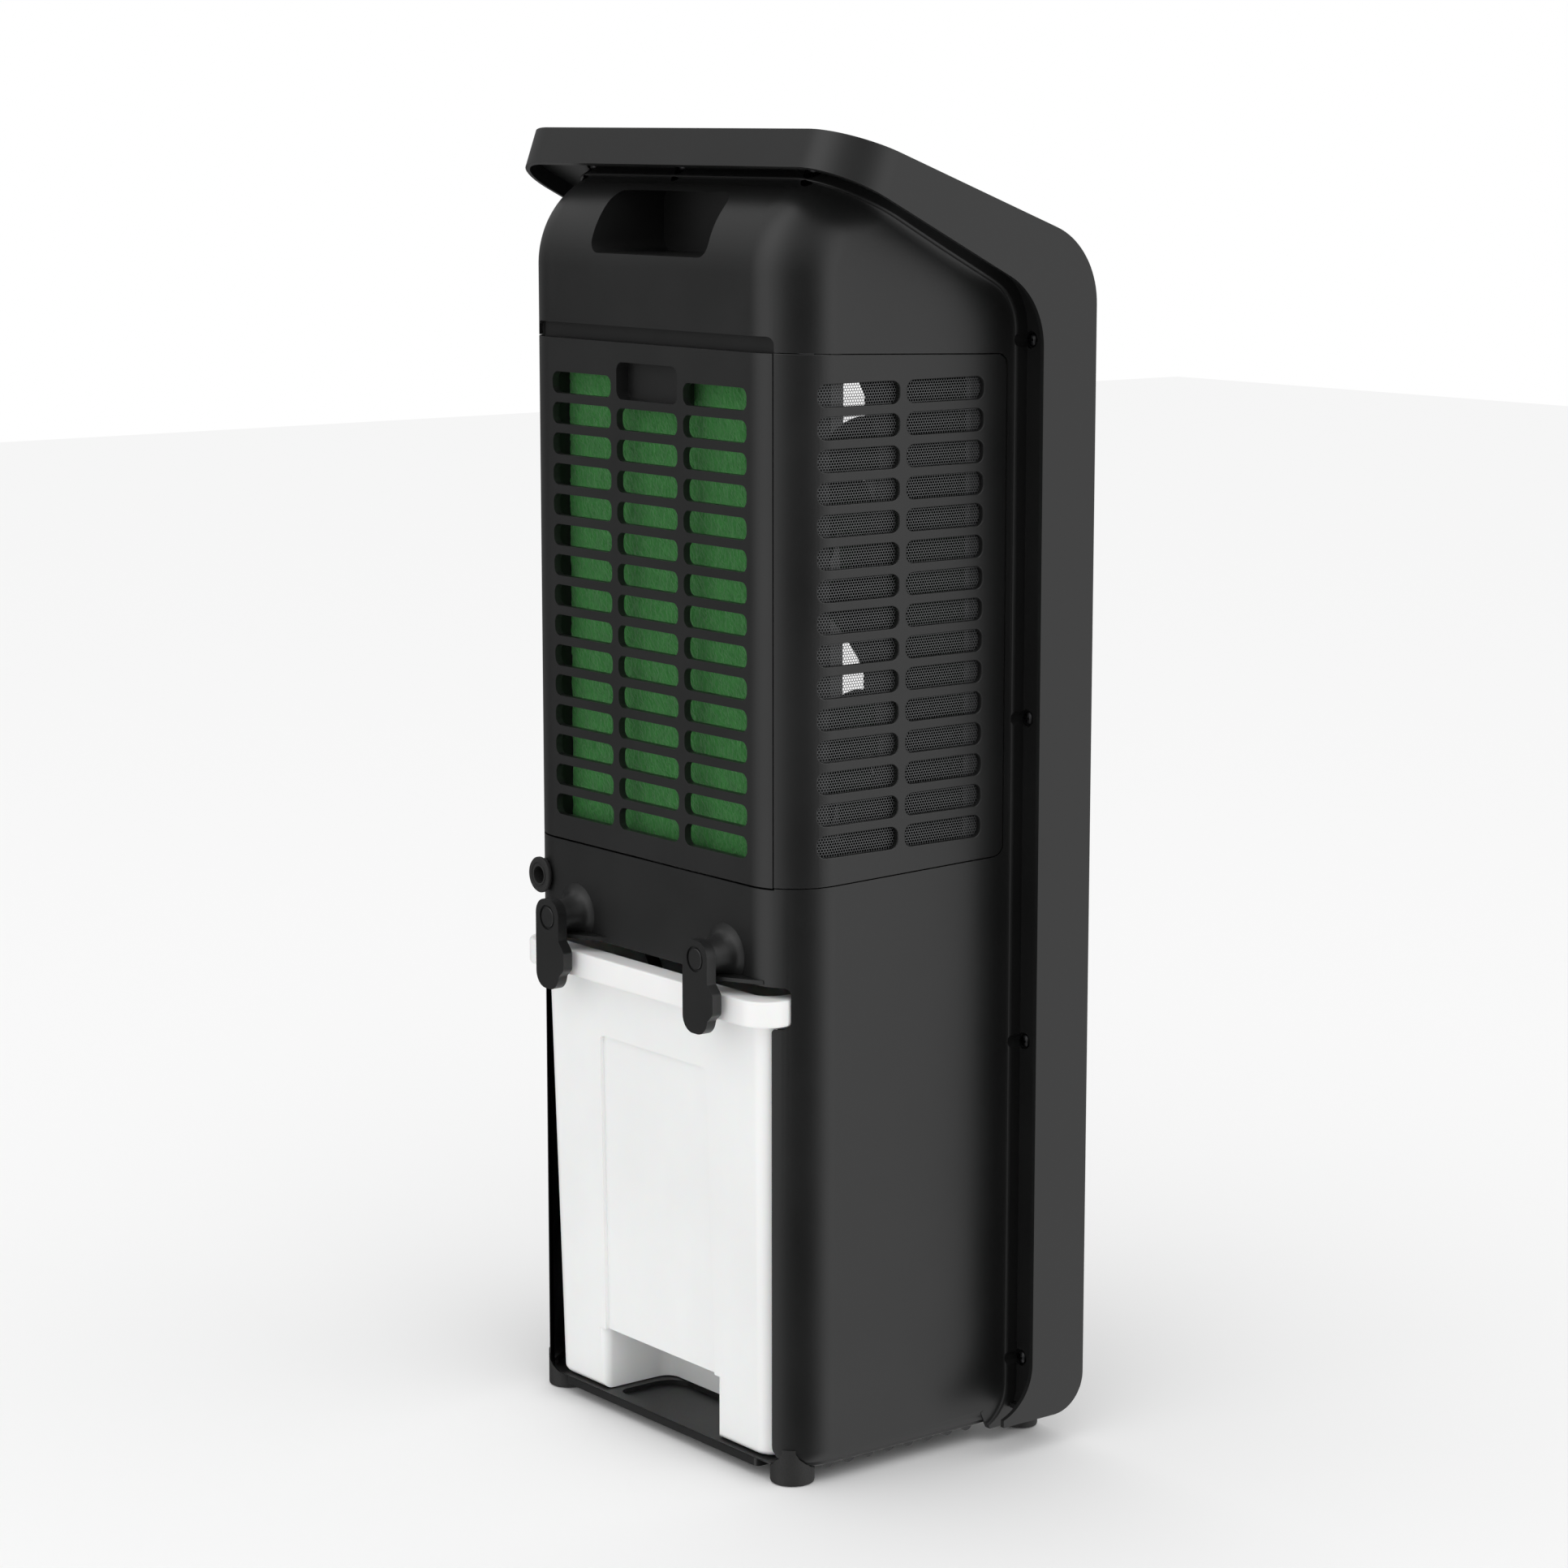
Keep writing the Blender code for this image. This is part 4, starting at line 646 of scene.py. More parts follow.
PANEL_CORNER_R = 0.006
OUTLET_R = 0.012
GROOVE_MARGIN = 0.014
GROOVE_WIDTH = 0.0016
GROOVE_R = 0.024
GROOVE_DEPTH = 0.0010
BEAD_ROOM = 0.0035
SIDE_FOOT_DEPTHS = (0.1215, 0.146)
SIDE_FOOT_HALF = 0.1415
SIDE_FOOT_TOP = 0.0235


def rim_z(depth):
    """Height of the shell's rear edge on the slanted top."""
    return RIM_REF_Z + (RIM_REF_DEPTH - depth) * FLANGE_SLOPE


def front_cut(depth, *rings):
    """A cutter into the shell's front face, through the outlet frame's outline grown and rounded as given."""
    outlines = [box_outline((FRAME_LOW.x - grow, FRAME_LOW.z - grow), (FRAME_HIGH.x + grow, FRAME_HIGH.z + grow),
                            radius) for grow, radius in rings]
    return solid(outlines, "XZ", at_depth(FRONT_DEPTH + 0.01), at_depth(FRONT_DEPTH - depth))


def front_shell():
    outer = rounded([
        (at_depth(-0.03), lid_z(-0.03), 0),
        (at_depth(FRONT_DEPTH), lid_z(FRONT_DEPTH), BEND_R),
        (at_depth(FRONT_DEPTH), SHELL_BOTTOM, SHELL_BOTTOM_R),
        (at_depth(0.112), SHELL_BOTTOM, 0),
        (at_depth(0.112), SHELL_BOTTOM + WALL, 0),
        (at_depth(RIM_DEPTH), SHELL_BOTTOM + WALL, 0.028),
        (at_depth(RIM_DEPTH), rim_z(RIM_DEPTH), 0.040),
        (at_depth(-0.03), rim_z(-0.03), 0),
    ], math.radians(4))
    front = FRONT_DEPTH - WALL
    inner = rounded([
        (at_depth(-0.05), lid_z(-0.05, WALL), 0),
        (at_depth(front), lid_z(front, WALL), BEND_R - WALL),
        (at_depth(front), SHELL_BOTTOM + WALL, SHELL_BOTTOM_R - WALL),
        (at_depth(-0.05), SHELL_BOTTOM + WALL, 0),
    ])
    shape = common(solid([outer], "YZ", -SHELL_HALF, SHELL_HALF), lid_prism(0))
    hollow = common(solid([inner], "YZ", WALL - SHELL_HALF, SHELL_HALF - WALL), lid_prism(WALL))
    outlet = front_cut(0.01, (GAP, OUTLET_R))
    panel = solid([box_outline((-PANEL_HALF[0], -PANEL_HALF[1]), PANEL_HALF, PANEL_CORNER_R)], "XY", -0.01, 0.01,
                  lid_matrix(PANEL_ALONG))
    under_body = slab(BODY_HALF + BEAD_ROOM, (0.1, 0.156), (0, 0.0205))
    between_feet = join(slab(FAR, (0.1, SIDE_FOOT_DEPTHS[0]), (0, SIDE_FOOT_TOP)),
                        slab(SIDE_FOOT_HALF, (0.1, SIDE_FOOT_DEPTHS[1]), (0, SIDE_FOOT_TOP)))
    groove = front_cut(GROOVE_DEPTH, (GROOVE_MARGIN, GROOVE_R),
                       (GROOVE_MARGIN - GROOVE_WIDTH, GROOVE_R - GROOVE_WIDTH))
    shape = cut(shape, hollow, outlet, panel, under_body, between_feet, groove)
    piece("front_casing", shape, BLACK, "front_shell", 0.0007, 3)


# ---- rear housing

POCKET_HALF = 0.050
POCKET_Z = (0.6216, 0.6535)
POCKET_DEPTH = 0.048
POCKET_R = 0.007
BAY_HALF = 0.0997
BAY_TOP = 0.2608
BAY_FOOT_FLARE = 0.0040
BAY_FOOT_Z = BODY_BOTTOM + 0.0015
BAY_TURN_Z = BODY_BOTTOM + 0.011
DECK = (0.1225, (0.296, 0.299))
DOOR_POST_X = 0.0977
DOOR_POST_HALF = 0.0045
DOOR_POST_DEPTHS = (0.0085, 0.018)
HEADER_HALF = 0.101
HEADER_TOP = 0.592
SHELF_THICK = 0.0025
GLAND_BORE_R = 0.0062
SCREW_X = centre_xz("shell_screw_right_1")[0]
SCREWS_Z = [centre_xz("shell_screw_right_%d" % (i + 1))[1] for i in range(4)]
WELL_X = SCREW_X - 0.0015
TOP_SCREWS_X = (0.0925, 0.013, -0.0925)
BEAD_R = 0.0018
BEAD_OUT = 0.0029
BEAD_BACK = 0.0071
FILLET_START = 0.0127
BOSS_PROUD = 0.0132
BOSS_PROFILE = ((0, -0.002), (0.0165, -0.002), (0.0160, 0.0002), (0.0132, 0.0009), (0.0112, 0.0026),
                (0.0098, 0.0056), (0.0088, 0.0100), (0.0083, 0.0126), (0.0079, BOSS_PROUD), (0, BOSS_PROUD))
SCREW_PROFILE = ((0, -0.0004), (0.0036, -0.0004), (0.0036, 0.0004), (0.0032, 0.0011), (0.0022, 0.0017), (0, 0.0019))


def flange_stations():
    """Stations along the body's edge on the flange: a point, the way outward and the way back along the body."""
    lean = Vector((0, math.cos(LEAN_ANGLE), math.sin(LEAN_ANGLE)))
    back = Vector((0, math.sin(LEAN_ANGLE), -math.cos(LEAN_ANGLE)))
    along = Vector((0, math.cos(SLOPE_ANGLE), math.sin(SLOPE_ANGLE)))
    normal = Vector((0, math.sin(SLOPE_ANGLE), -math.cos(SLOPE_ANGLE)))
    tangent_point = Vector((0, at_depth(LEAN_R), LEAN_Z)) + lean * LEAN_R
    plane_point = Vector((0, at_depth(0.0), flange_z(0.0)))
    rise = (plane_point - tangent_point).dot(normal) / (-back).dot(normal)
    rear = tangent_point - back * rise
    stretch = 1 / back.dot(normal)
    middle = BODY_HALF - CORNER_R
    made = [(rear + Vector((x, 0, 0)), along, back) for x in (0.0, middle * 0.5)]
    for i in range(19):
        turn = math.radians(90) * i / 18
        point = rear + Vector((middle + CORNER_R * math.sin(turn), 0, 0))
        point -= along * CORNER_R * stretch * (1 - math.cos(turn))
        out = Vector((math.sin(turn) * stretch, 0, 0)) + along * math.cos(turn)
        made.append((point, out.normalized(), back))
    side_start = len(made)
    start_y = made[-1][0].y
    line = [Vector(point) for point in flange_line(0.0)]
    for i, here in enumerate(line):
        if here.x > start_y - 0.004 and here.y > 0.3 or here.y < BODY_BOTTOM - 0.0045:
            continue
        steps = [(end - start).normalized() for start, end in zip(line[i - 1:i + 1], line[i:i + 2])]
        run = sum(steps, Vector((0, 0))).normalized()
        made.append((Vector((BODY_HALF, *here)), Vector((1, 0, 0)), Vector((0, -run.y, run.x))))
    corner, side = made[side_start - 1], made[side_start]
    halfway = (corner[0].lerp(side[0], 0.5), Vector((1, 0, 0)), (back + side[2]).normalized())
    made.insert(side_start, halfway)
    return made


def sweep(stations, profile):
    """A closed solid from (outward, backward) points carried along stations, mirrored to the other side."""
    left = [(Vector((-p.x, p.y, p.z)), Vector((-o.x, o.y, o.z)), b) for p, o, b in reversed(stations[1:])]
    return skinned([[point + out * a + back * b for a, b in profile] for point, out, back in [*left, *stations]])


def housing_bead():
    """The body's edge: a concave sweep up to a small rounded bead, then a step down to the flange."""
    profile = [(-0.0010, FILLET_START + 0.001), (-0.00003, FILLET_START + 0.001)]
    fillet_out = BEAD_OUT - BEAD_R
    fillet_back = FILLET_START - BEAD_BACK
    for i in range(9):
        turn = math.radians(86) * i / 8
        profile.append((fillet_out * (1 - math.cos(turn)), FILLET_START - fillet_back * math.sin(turn)))
    for i in range(7):
        turn = math.radians(90) * i / 6
        behind = BEAD_BACK - BEAD_R * (1 - math.cos(turn)) + 0.00025
        profile.append((fillet_out + BEAD_R * math.sin(turn), behind))
    profile += [(BEAD_OUT, -0.0015), (-0.0010, -0.0015)]
    return sweep(flange_stations(), profile)


def flange_plate():
    band = solid([[*flange_line(0.0), *reversed(flange_line(-FLANGE_THICK))]], "YZ", -SHELL_HALF, SHELL_HALF)
    plate = common(band, lid_prism(WALL + GAP))
    half = SHELL_HALF - WALL - GAP
    plate = common(plate, layer(SHELL_BOTTOM + WALL + GAP, 0.8), box((-half, -FAR, 0), (half, FAR, 0.8)))
    return cut(plate, slab(BODY_HALF - WALL, (0.14, 0.17), (0.022, 0.583)))


def side_strip(inset, thick, front_depth, seam_extra):
    """Plan of one side panel: round the rear corner from the seam, then straight to the front."""
    centre = (BODY_HALF - CORNER_R, at_depth(CORNER_R))
    start = math.pi / 2 - SEAM_ANGLE + seam_extra
    outer = arc(centre, CORNER_R - inset, start, 0, math.radians(4))
    inner = arc(centre, CORNER_R - inset - thick, 0, start, math.radians(4))
    front = at_depth(front_depth)
    half = BODY_HALF - inset
    return [*outer, (half, front), (half - thick, front), *inner]


def side_face(grow):
    """Outline of one side panel seen from the side."""
    rear = REAR + 0.01
    front = at_depth(SIDE_FRONT_DEPTH + grow)
    return rounded([(rear, SIDE_TOP[0] + grow, 0), (front, SIDE_TOP[1] + grow, 0.006 + grow),
                    (front, SIDE_BOTTOM[1] - grow, 0.006 + grow), (rear, SIDE_BOTTOM[0] - grow, 0)])


def side_solid(inset, thick, grow=0.0, seam_extra=0.0):
    """The right side panel, or the hole for it."""
    strip = solid([side_strip(inset, thick, SIDE_FRONT_DEPTH + grow, seam_extra)], "XY", 0.2, 0.65)
    return common(strip, solid([side_face(grow)], "YZ", 0, 0.2))


def bay_outline():
    """Rear opening for the tank, wider where the tank's rim passes and flared at its foot."""
    wide = TANK_HIGH.x + 0.0012
    low = RIM_LOW - 0.0014
    foot = BAY_HALF + BAY_FOOT_FLARE
    return even([(foot, 0.0, 0), (foot, BAY_FOOT_Z, 0), (BAY_HALF, BAY_TURN_Z, 0.008), (BAY_HALF, low, 0.002),
                 (wide, low, 0.004), (wide, BAY_TOP, 0.003)])


def housing_cavity():
    """The hollow of the housing, less the walls that stand in it."""
    cavity = smooth_body(WALL, BODY_BOTTOM - 0.01, 0, 0.25)
    deck = slab(0.13, (-0.01, DECK[0]), DECK[1])
    pocket = slab(POCKET_HALF + WALL, (-0.01, POCKET_DEPTH + WALL), (POCKET_Z[0] - WALL, POCKET_Z[1] + WALL))
    near, far = DOOR_POST_DEPTHS
    header = join(slab(HEADER_HALF, (-0.001, near), (0.5855, HEADER_TOP)),
                  slab(HEADER_HALF, (0.006, near), (0.5765, HEADER_TOP)))
    posts = [box((x - DOOR_POST_HALF, at_depth(far), 0.297), (x + DOOR_POST_HALF, at_depth(near), 0.60))
             for x in (-DOOR_POST_X, DOOR_POST_X)]
    shelf = slab(0.13, (-0.01, far), (HEADER_TOP, HEADER_TOP + SHELF_THICK))
    return cut(cavity, deck, pocket, header, *posts, shelf, *top_wells(0.0066, -0.0005, 0.0150))


def rear_housing():
    outer = common(smooth_body(0, BODY_BOTTOM, BOTTOM_R, 0.17), behind_flange())
    shape = join(cut(outer, housing_cavity()), housing_bead(), flange_plate(), *latch_bosses())
    pocket = solid([box_outline((-POCKET_HALF, POCKET_Z[0]), (POCKET_HALF, POCKET_Z[1]), POCKET_R)], "XZ",
                   at_depth(POCKET_DEPTH), REAR + 0.02)
    half = (BODY_HALF - CORNER_R) + (CORNER_R + 0.001) * math.sin(SEAM_ANGLE)
    rear_hole = solid([even([(half, PANEL_BOTTOM - 0.001, 0), (half, GROOVE_TOP, 0.004)])], "XZ",
                      at_depth(0.0056), REAR + 0.02)
    side_holes = [side_solid(-0.002, WALL + 0.0025, GAP, 0.02) for _ in SIDES]
    mirrored(side_holes[0])
    bay = solid([bay_outline()], "XZ", at_depth(0.030), REAR + 0.02)
    gland_x, gland_z = centre_xz("cord_gland")
    gland_hole = cylinder((gland_x, 0, gland_z), GLAND_BORE_R, at_depth(0.016), at_depth(-0.01), "Y")
    below = layer(-0.1, BODY_BOTTOM - 0.0003)
    shape = cut(shape, pocket, rear_hole, *side_holes, bay, gland_hole, *screw_wells(), below)
    piece("housing", shape, BLACK, "rear_housing", 0.0005, 3)


def top_seat(x):
    """The place of a screw on the body's edge under the lid, looking square out of the slanted flange."""
    stations = flange_stations()
    for (low, _, _), (high, out, _) in zip(stations, stations[1:]):
        if low.x <= abs(x) <= high.x:
            point = low.lerp(high, (abs(x) - low.x) / (high.x - low.x)) + out * 0.0012
            break
    return (Matrix.Translation((math.copysign(point.x, x), point.y, point.z))
            @ Matrix.Rotation(math.pi + SLOPE_ANGLE, 4, "X"))


def top_wells(radius, low, high):
    """Round volumes over the three screws in the slanted part of the flange, square to it."""
    made = []
    for x in TOP_SCREWS_X:
        well = cylinder((0, 0, 0), radius, low, high, "Z", 32)
        well.transform(top_seat(x))
        made.append(well)
    return made


def screw_wells():
    wells = [cylinder((side * WELL_X, 0, z), 0.0045, at_depth(0.1526), at_depth(0.139), "Y", 32)
             for side in (-1, 1) for z in SCREWS_Z]
    return wells + top_wells(0.0050, -0.0016, 0.0130)


def latch_bosses():
    """Cones under the latches, each with a small web to its left."""
    made = []
    for name in SIDES:
        x, z = centre_xz("latch_pin_" + name)
        cone = turned([(radius, REAR + out) for radius, out in BOSS_PROFILE], (x, 0, z), "Y")
        tip = REAR + BOSS_PROUD - 0.0004
        web = solid([[(x + 0.001, REAR - 0.001), (x + 0.001, tip), (x - 0.0050, tip), (x - 0.030, REAR - 0.001)]],
                    "XY", z - 0.0108, z - 0.0088)
        made += [cut(cone, layer(0.2, BAY_TOP + 0.0004)), web]
    return made


def screw_head(place):
    """A pan head with a cross recess."""
    arm, half = 0.0021, 0.00055
    cross = join(box((-arm, -half, 0.0006), (arm, half, 0.003)), box((-half, -arm, 0.0006), (half, arm, 0.003)))
    shape = cut(turned(SCREW_PROFILE, (0, 0, 0), "Z", 32), cross)
    shape.transform(place)
    return shape


def screw_heads():
    """Screws at the bottom of their wells: eight at the sides and three under the lid."""
    for name, side in SIDES.items():
        for i, z in enumerate(SCREWS_Z):
            node = "shell_screw_%s_%d" % (name, i + 1)
            seat = Matrix.Translation((side * WELL_X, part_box(node)[0].y - 0.0016, z))
            shape = screw_head(seat @ Matrix.Rotation(-math.pi / 2, 4, "X"))
            piece("screw_%s_%d" % (name, i + 1), shape, DARK_STEEL, node)
    for i, x in enumerate(TOP_SCREWS_X):
        shape = screw_head(top_seat(x) @ Matrix.Translation((0, 0, -0.0010)))
        piece("screw_top_%d" % (i + 1), shape, DARK_STEEL, [], body="root")


# ---- air panels

RECESS_DEPTH = 0.0076
RECESS = ((-0.0262, 0.5477), (0.0263, 0.5668))
RECESS_WALL = 0.0020
SLOT_FRAME_HALF = 0.0860


def slot_outlines(columns, first_z, skip=()):
    """Rounded slots in rows and columns, except those to skip."""
    made = []
    for row in range(SLOT_ROWS):
        z = first_z - row * SLOT_PITCH
        made += [box_outline((start, z), (end, z + SLOT_HEIGHT), SLOT_R)
                 for column, (start, end) in enumerate(columns) if (row, column) not in skip]
    return made


def rear_panel():
    """The filter door's skin: a thin panel, thicker round its slots, with a closed finger recess at the top."""
    centre = (BODY_HALF - CORNER_R, at_depth(CORNER_R))
    edge = math.pi / 2 - SEAM_ANGLE + 0.012
    right = arc(centre, CORNER_R, edge, math.pi / 2, math.radians(3))
    inner = arc(centre, CORNER_R - WALL, edge, math.pi / 2, math.radians(3))
    plan = [*right, *[(-x, y) for x, y in reversed(right)], *[(-x, y) for x, y in inner], *reversed(inner)]
    shape = solid([plan], "XY", PANEL_BOTTOM, PANEL_TOP)
    thick = slab(SLOT_FRAME_HALF, (0.001, 0.0040), (0.3190, 0.5665))
    slots = slot_outlines(REAR_COLUMNS, SLOT_FIRST_Z, skip={(0, 1)})
    shape = cut(join(shape, thick), solid(slots, "XZ", at_depth(0.01), REAR + 0.01))
    (left, low), (right, high) = RECESS
    block = box((left - RECESS_WALL, at_depth(RECESS_DEPTH + 0.0018), 0.5460),
                (right + RECESS_WALL, at_depth(0.001), 0.5700))
    hollow = solid([box_outline((left, low), (right, high), 0.0045)], "XZ", at_depth(RECESS_DEPTH), REAR + 0.001)
    piece("rear_panel", cut(join(shape, block), hollow), GRILLE, "rear_grille", 0.00045, 3)


def side_panels():
    columns = [(at_depth(start + SIDE_SLOT_WIDTH), at_depth(start)) for start in SIDE_COLUMNS]
    for name, side in SIDES.items():
        slots = solid(slot_outlines(columns, SLOT_FIRST_Z + 0.0026), "YZ", 0.05, 0.2)
        shape = cut(side_solid(0, 0.0032), slots)
        if side < 0:
            mirrored(shape)
        piece("side_panel_" + name, shape, GRILLE, "side_grille_" + name, 0.00045, 3)


def side_screens():
    """Honeycomb dust screens behind the side panels, bent round the corner."""
    pitch = 0.0016
    ratio = 0.76
    low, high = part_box("side_mesh_right")
    radius = CORNER_R - WALL - 0.0009
    turn = math.pi / 4
    straight = at_depth(CORNER_R) - low.y
    length = radius * turn + straight
    row_step = pitch * math.sqrt(3) / 2
    corner = pitch / math.sqrt(3)
    rows = int((high.z - low.z - 2 * corner) / row_step)
    columns = int((length - 2 * pitch) / pitch)
    row, column = np.meshgrid(np.arange(rows), np.arange(columns), indexing="ij")
    centre_s = pitch * (column + 1 + 0.5 * (row % 2)).ravel()
    centre_z = (low.z + corner + row_step * row).ravel()
    angles = math.pi / 6 + math.pi / 3 * np.arange(6)
    points = []
    for share in (1.0, ratio):
        s = centre_s[:, None] + corner * share * np.cos(angles)[None, :]
        z = centre_z[:, None] + corner * share * np.sin(angles)[None, :]
        points.append(np.stack([s, z], axis=-1))
    flat = np.stack(points, axis=1).reshape(-1, 2)
    keys, place = np.unique(np.round(flat * 1e6).astype(np.int64), axis=0, return_inverse=True)
    flat = keys / 1e6
    cells = len(centre_s)
    index = place.reshape(cells, 2, 6)
    following = np.roll(index, -1, axis=2)
    faces = np.stack([index[:, 0], following[:, 0], following[:, 1], index[:, 1]], axis=-1).reshape(-1, 4)
    s = flat[:, 0] - radius * turn
    angle = np.clip(-s / radius, 0, turn)
    ahead = np.maximum(s, 0)
    x = BODY_HALF - CORNER_R + radius * np.cos(angle)
    y = at_depth(CORNER_R) + radius * np.sin(angle) - ahead
    for name, side in SIDES.items():
        shape = bpy.data.meshes.new("screen")
        shape.from_pydata(np.stack([side * x, y, flat[:, 1]], axis=1).tolist(), [], faces.tolist())
        shape.update()
        piece("side_screen_" + name, shape, NYLON, "side_mesh_" + name, finish=False)


def grid_block(low, high, spacing, lift):
    """A box whose rear (+Y) face is a fine grid, lifted by a function of x and z."""
    across = round((high[0] - low[0]) / spacing)
    up = round((high[2] - low[2]) / spacing)
    xs = [low[0] + (high[0] - low[0]) * i / across for i in range(across + 1)]
    zs = [low[2] + (high[2] - low[2]) * j / up for j in range(up + 1)]
    verts = [(x, high[1] + lift(x, z), z) for z in zs for x in xs]
    wide = across + 1
    faces = [(j * wide + i, (j + 1) * wide + i, (j + 1) * wide + i + 1, j * wide + i + 1)
             for j in range(up) for i in range(across)]
    back = len(verts)
    verts += [(x, low[1], z) for x, z in ((low[0], low[2]), (high[0], low[2]), (high[0], high[2]), (low[0], high[2]))]
    faces.append((back, back + 1, back + 2, back + 3))
    faces.append((*range(0, wide), back + 1, back))
    faces.append((*[up * wide + i for i in reversed(range(wide))], back + 3, back + 2))
    faces.append((*[j * wide for j in reversed(range(up + 1))], back, back + 3))
    faces.append((*[j * wide + across for j in range(up + 1)], back + 2, back + 1))
    shape = bpy.data.meshes.new("block")
    shape.from_pydata(verts, [], faces)
    clean(shape)
    return shape


def pad():
    """Matted fibre: a field of shallow waves and clumps behind the slots."""
    low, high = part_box("cooling_pad")

    def lift(x, z):
        place = Vector((x, 0.0, z))
        coarse = noise.fractal(place * 90, 1.0, 2.0, 3)
        fine = noise.fractal(place * 500, 0.8, 2.0, 3)
        return -0.0006 + min(0.0006, 0.0011 * coarse * 0.5 + 0.0005 * fine)

    piece("fibre_pad", grid_block(tuple(low), (high.x, high.y, high.z), 0.0011, lift), GREEN, "cooling_pad",
          finish=False)


# ---- base, feet, tank

REAR_FOOT = (0.0999, 0.0162)
REAR_FOOT_R = 0.0115
REAR_FOOT_TOP = 0.0195
FRONT_FOOT = (0.1056, 0.1669)
FRONT_FOOT_R = 0.0090
FRONT_FOOT_TOP = 0.0270
BASE_Z = (0.0080, 0.0112)
BASE_LIP_Z = 0.0058
BASE_INSET = 0.0040
RIB_COUNT = 9
RIB_PITCH = 0.0133
RIB_R = 0.0041
RIB_Z = 0.0097
RIB_HALF = 0.1085
NOTCH_HALF = 0.0495
NOTCH_TOP = 0.0453
NOTCH_DEPTH = 0.048
NOTCH_EDGE_R = 0.005
SUNK_HALF = (0.0490, 0.0465)
SUNK_TOP = 0.2093
SUNK_DEPTH = 0.0024
TANK_PROUD = (-0.0053, 0.0)
TANK_FLOOR = TANK_LOW.z
TANK_FRONT_DEPTH = 0.138
TANK_WALL = 0.0024
RIM_HEIGHT = 0.0141
RIM_LOW = TANK_HIGH.z - RIM_HEIGHT
RIM_PROUD = 0.0099
PAN_WALL_Z = (0.0105, 0.0135)
LIP_HALF = 0.0860
SCOOP_HALF = 0.0445
SCOOP_DEPTHS = (0.0095, 0.048)
SCOOP_FLOOR = 0.0026
SUMP_HALF = 0.0480
LATCH_HALF = 0.0104
LATCH_LOBE_X = 0.0150
LATCH_TOP = 0.0098
LATCH_FOOT = 0.0385
LATCH_END_R = 0.0085
PIN_R = 0.0044
PIN_CAP_R = 0.0056
SLEEVE_R = 0.0086
COLLAR_PROFILE = ((0, -0.0022), (0.0091, -0.0022), (0.0097, -0.0016), (0.0097, -0.0006), (0.0092, 0),
                  (0.0070, 0), (0.0067, -0.0005), (0.0058, -0.0005), (0.0055, 0), (0, 0))


def plan_outline(inset, front_depth):
    """The body seen from above: rounded rear corners, square front."""
    half = BODY_HALF - inset
    return even([(half, at_depth(front_depth), 0), (half, at_depth(inset), CORNER_R - inset)])


def base_plate():
    """The bottom pan: a plate that carries on the body's rounded edge, a rear lip, round ribs and a scoop."""
    plan = plan_outline(WALL + GAP, 0.150)
    low, high = BASE_Z
    plate = common(solid([plan], "XY", low, high), smooth_body(0.0001, BODY_BOTTOM - 0.0006, BOTTOM_R, 0.17))
    rear = REAR - BASE_INSET
    lip = solid([even([(LIP_HALF, rear - 0.012, 0), (LIP_HALF, rear, 0.003)])], "XY", BASE_LIP_Z, high)
    ribs = [cylinder((0, at_depth(0.020 + i * RIB_PITCH), RIB_Z), RIB_R, -RIB_HALF, RIB_HALF, "X", 32)
            for i in range(RIB_COUNT)]
    above = layer(high - 0.0001, 0.05)
    wall = cut(solid([plan], "XY", *PAN_WALL_Z), solid([plan_outline(WALL + 0.002, 0.148)], "XY", 0.0, 0.1),
               slab(0.1015, (-0.1, 0.03), (0, 0.1)))
    near, far = SCOOP_DEPTHS
    scoop = solid([even([(SCOOP_HALF, at_depth(far), 0.014), (SCOOP_HALF, at_depth(near), 0.006)])],
                  "XY", high - SCOOP_FLOOR, 0.05)
    sump = slab(SUMP_HALF, (0.008, 0.052), (BASE_LIP_Z + 0.001, high))
    round_feet = [cylinder((side * REAR_FOOT[0], at_depth(REAR_FOOT[1]), 0), REAR_FOOT_R + 0.0003, -0.01,
                           low + 0.0002) for side in (-1, 1)]
    pan = join(cut(join(plate, lip, sump, *ribs), above, scoop, *round_feet), wall)
    piece("base", pan, BLACK, "base_plate", 0.0006, 3)


def feet():
    """Round feet: the rear ones stand out of the body's rounded corners, the front ones sit under the shell."""
    low = SHELL_BOTTOM - 0.0003
    back, front = at_depth(0.1), at_depth(FRONT_DEPTH) - 0.0003
    shell = solid([rounded([(back, low, 0), (front, low, SHELL_BOTTOM_R), (front, 0.1, 0), (back, 0.1, 0)])],
                  "YZ", -SHELL_HALF, SHELL_HALF)
    body = smooth_body(-0.0003, BODY_BOTTOM - 0.0010, BOTTOM_R, 0.17)
    kinds = {"rear": (REAR_FOOT, REAR_FOOT_R, REAR_FOOT_TOP, body),
             "front": (FRONT_FOOT, FRONT_FOOT_R, FRONT_FOOT_TOP, shell)}
    for place, ((x, depth), radius, top, above) in kinds.items():
        profile = [(0, 0), (radius - 0.0012, 0), (radius - 0.0003, 0.0004), (radius, 0.0013), (radius, top), (0, top)]
        for name, side in SIDES.items():
            shape = turned(profile, (side * x, at_depth(depth), 0), "Z", 72)
            piece("pad_foot_" + place + "_" + name, cut(shape, above), RUBBER, "foot_" + place + "_" + name)


def tank_section(inset, level):
    """The tank seen from above, at a share of its height."""
    half = 0.0955 + 0.0035 * level - inset
    rear = REAR + TANK_PROUD[0] + (TANK_PROUD[1] - TANK_PROUD[0]) * level - inset
    front = at_depth(TANK_FRONT_DEPTH - (1 - level) * 0.004 - inset)
    return even([(half, front, 0.012), (half, rear, 0.011)])


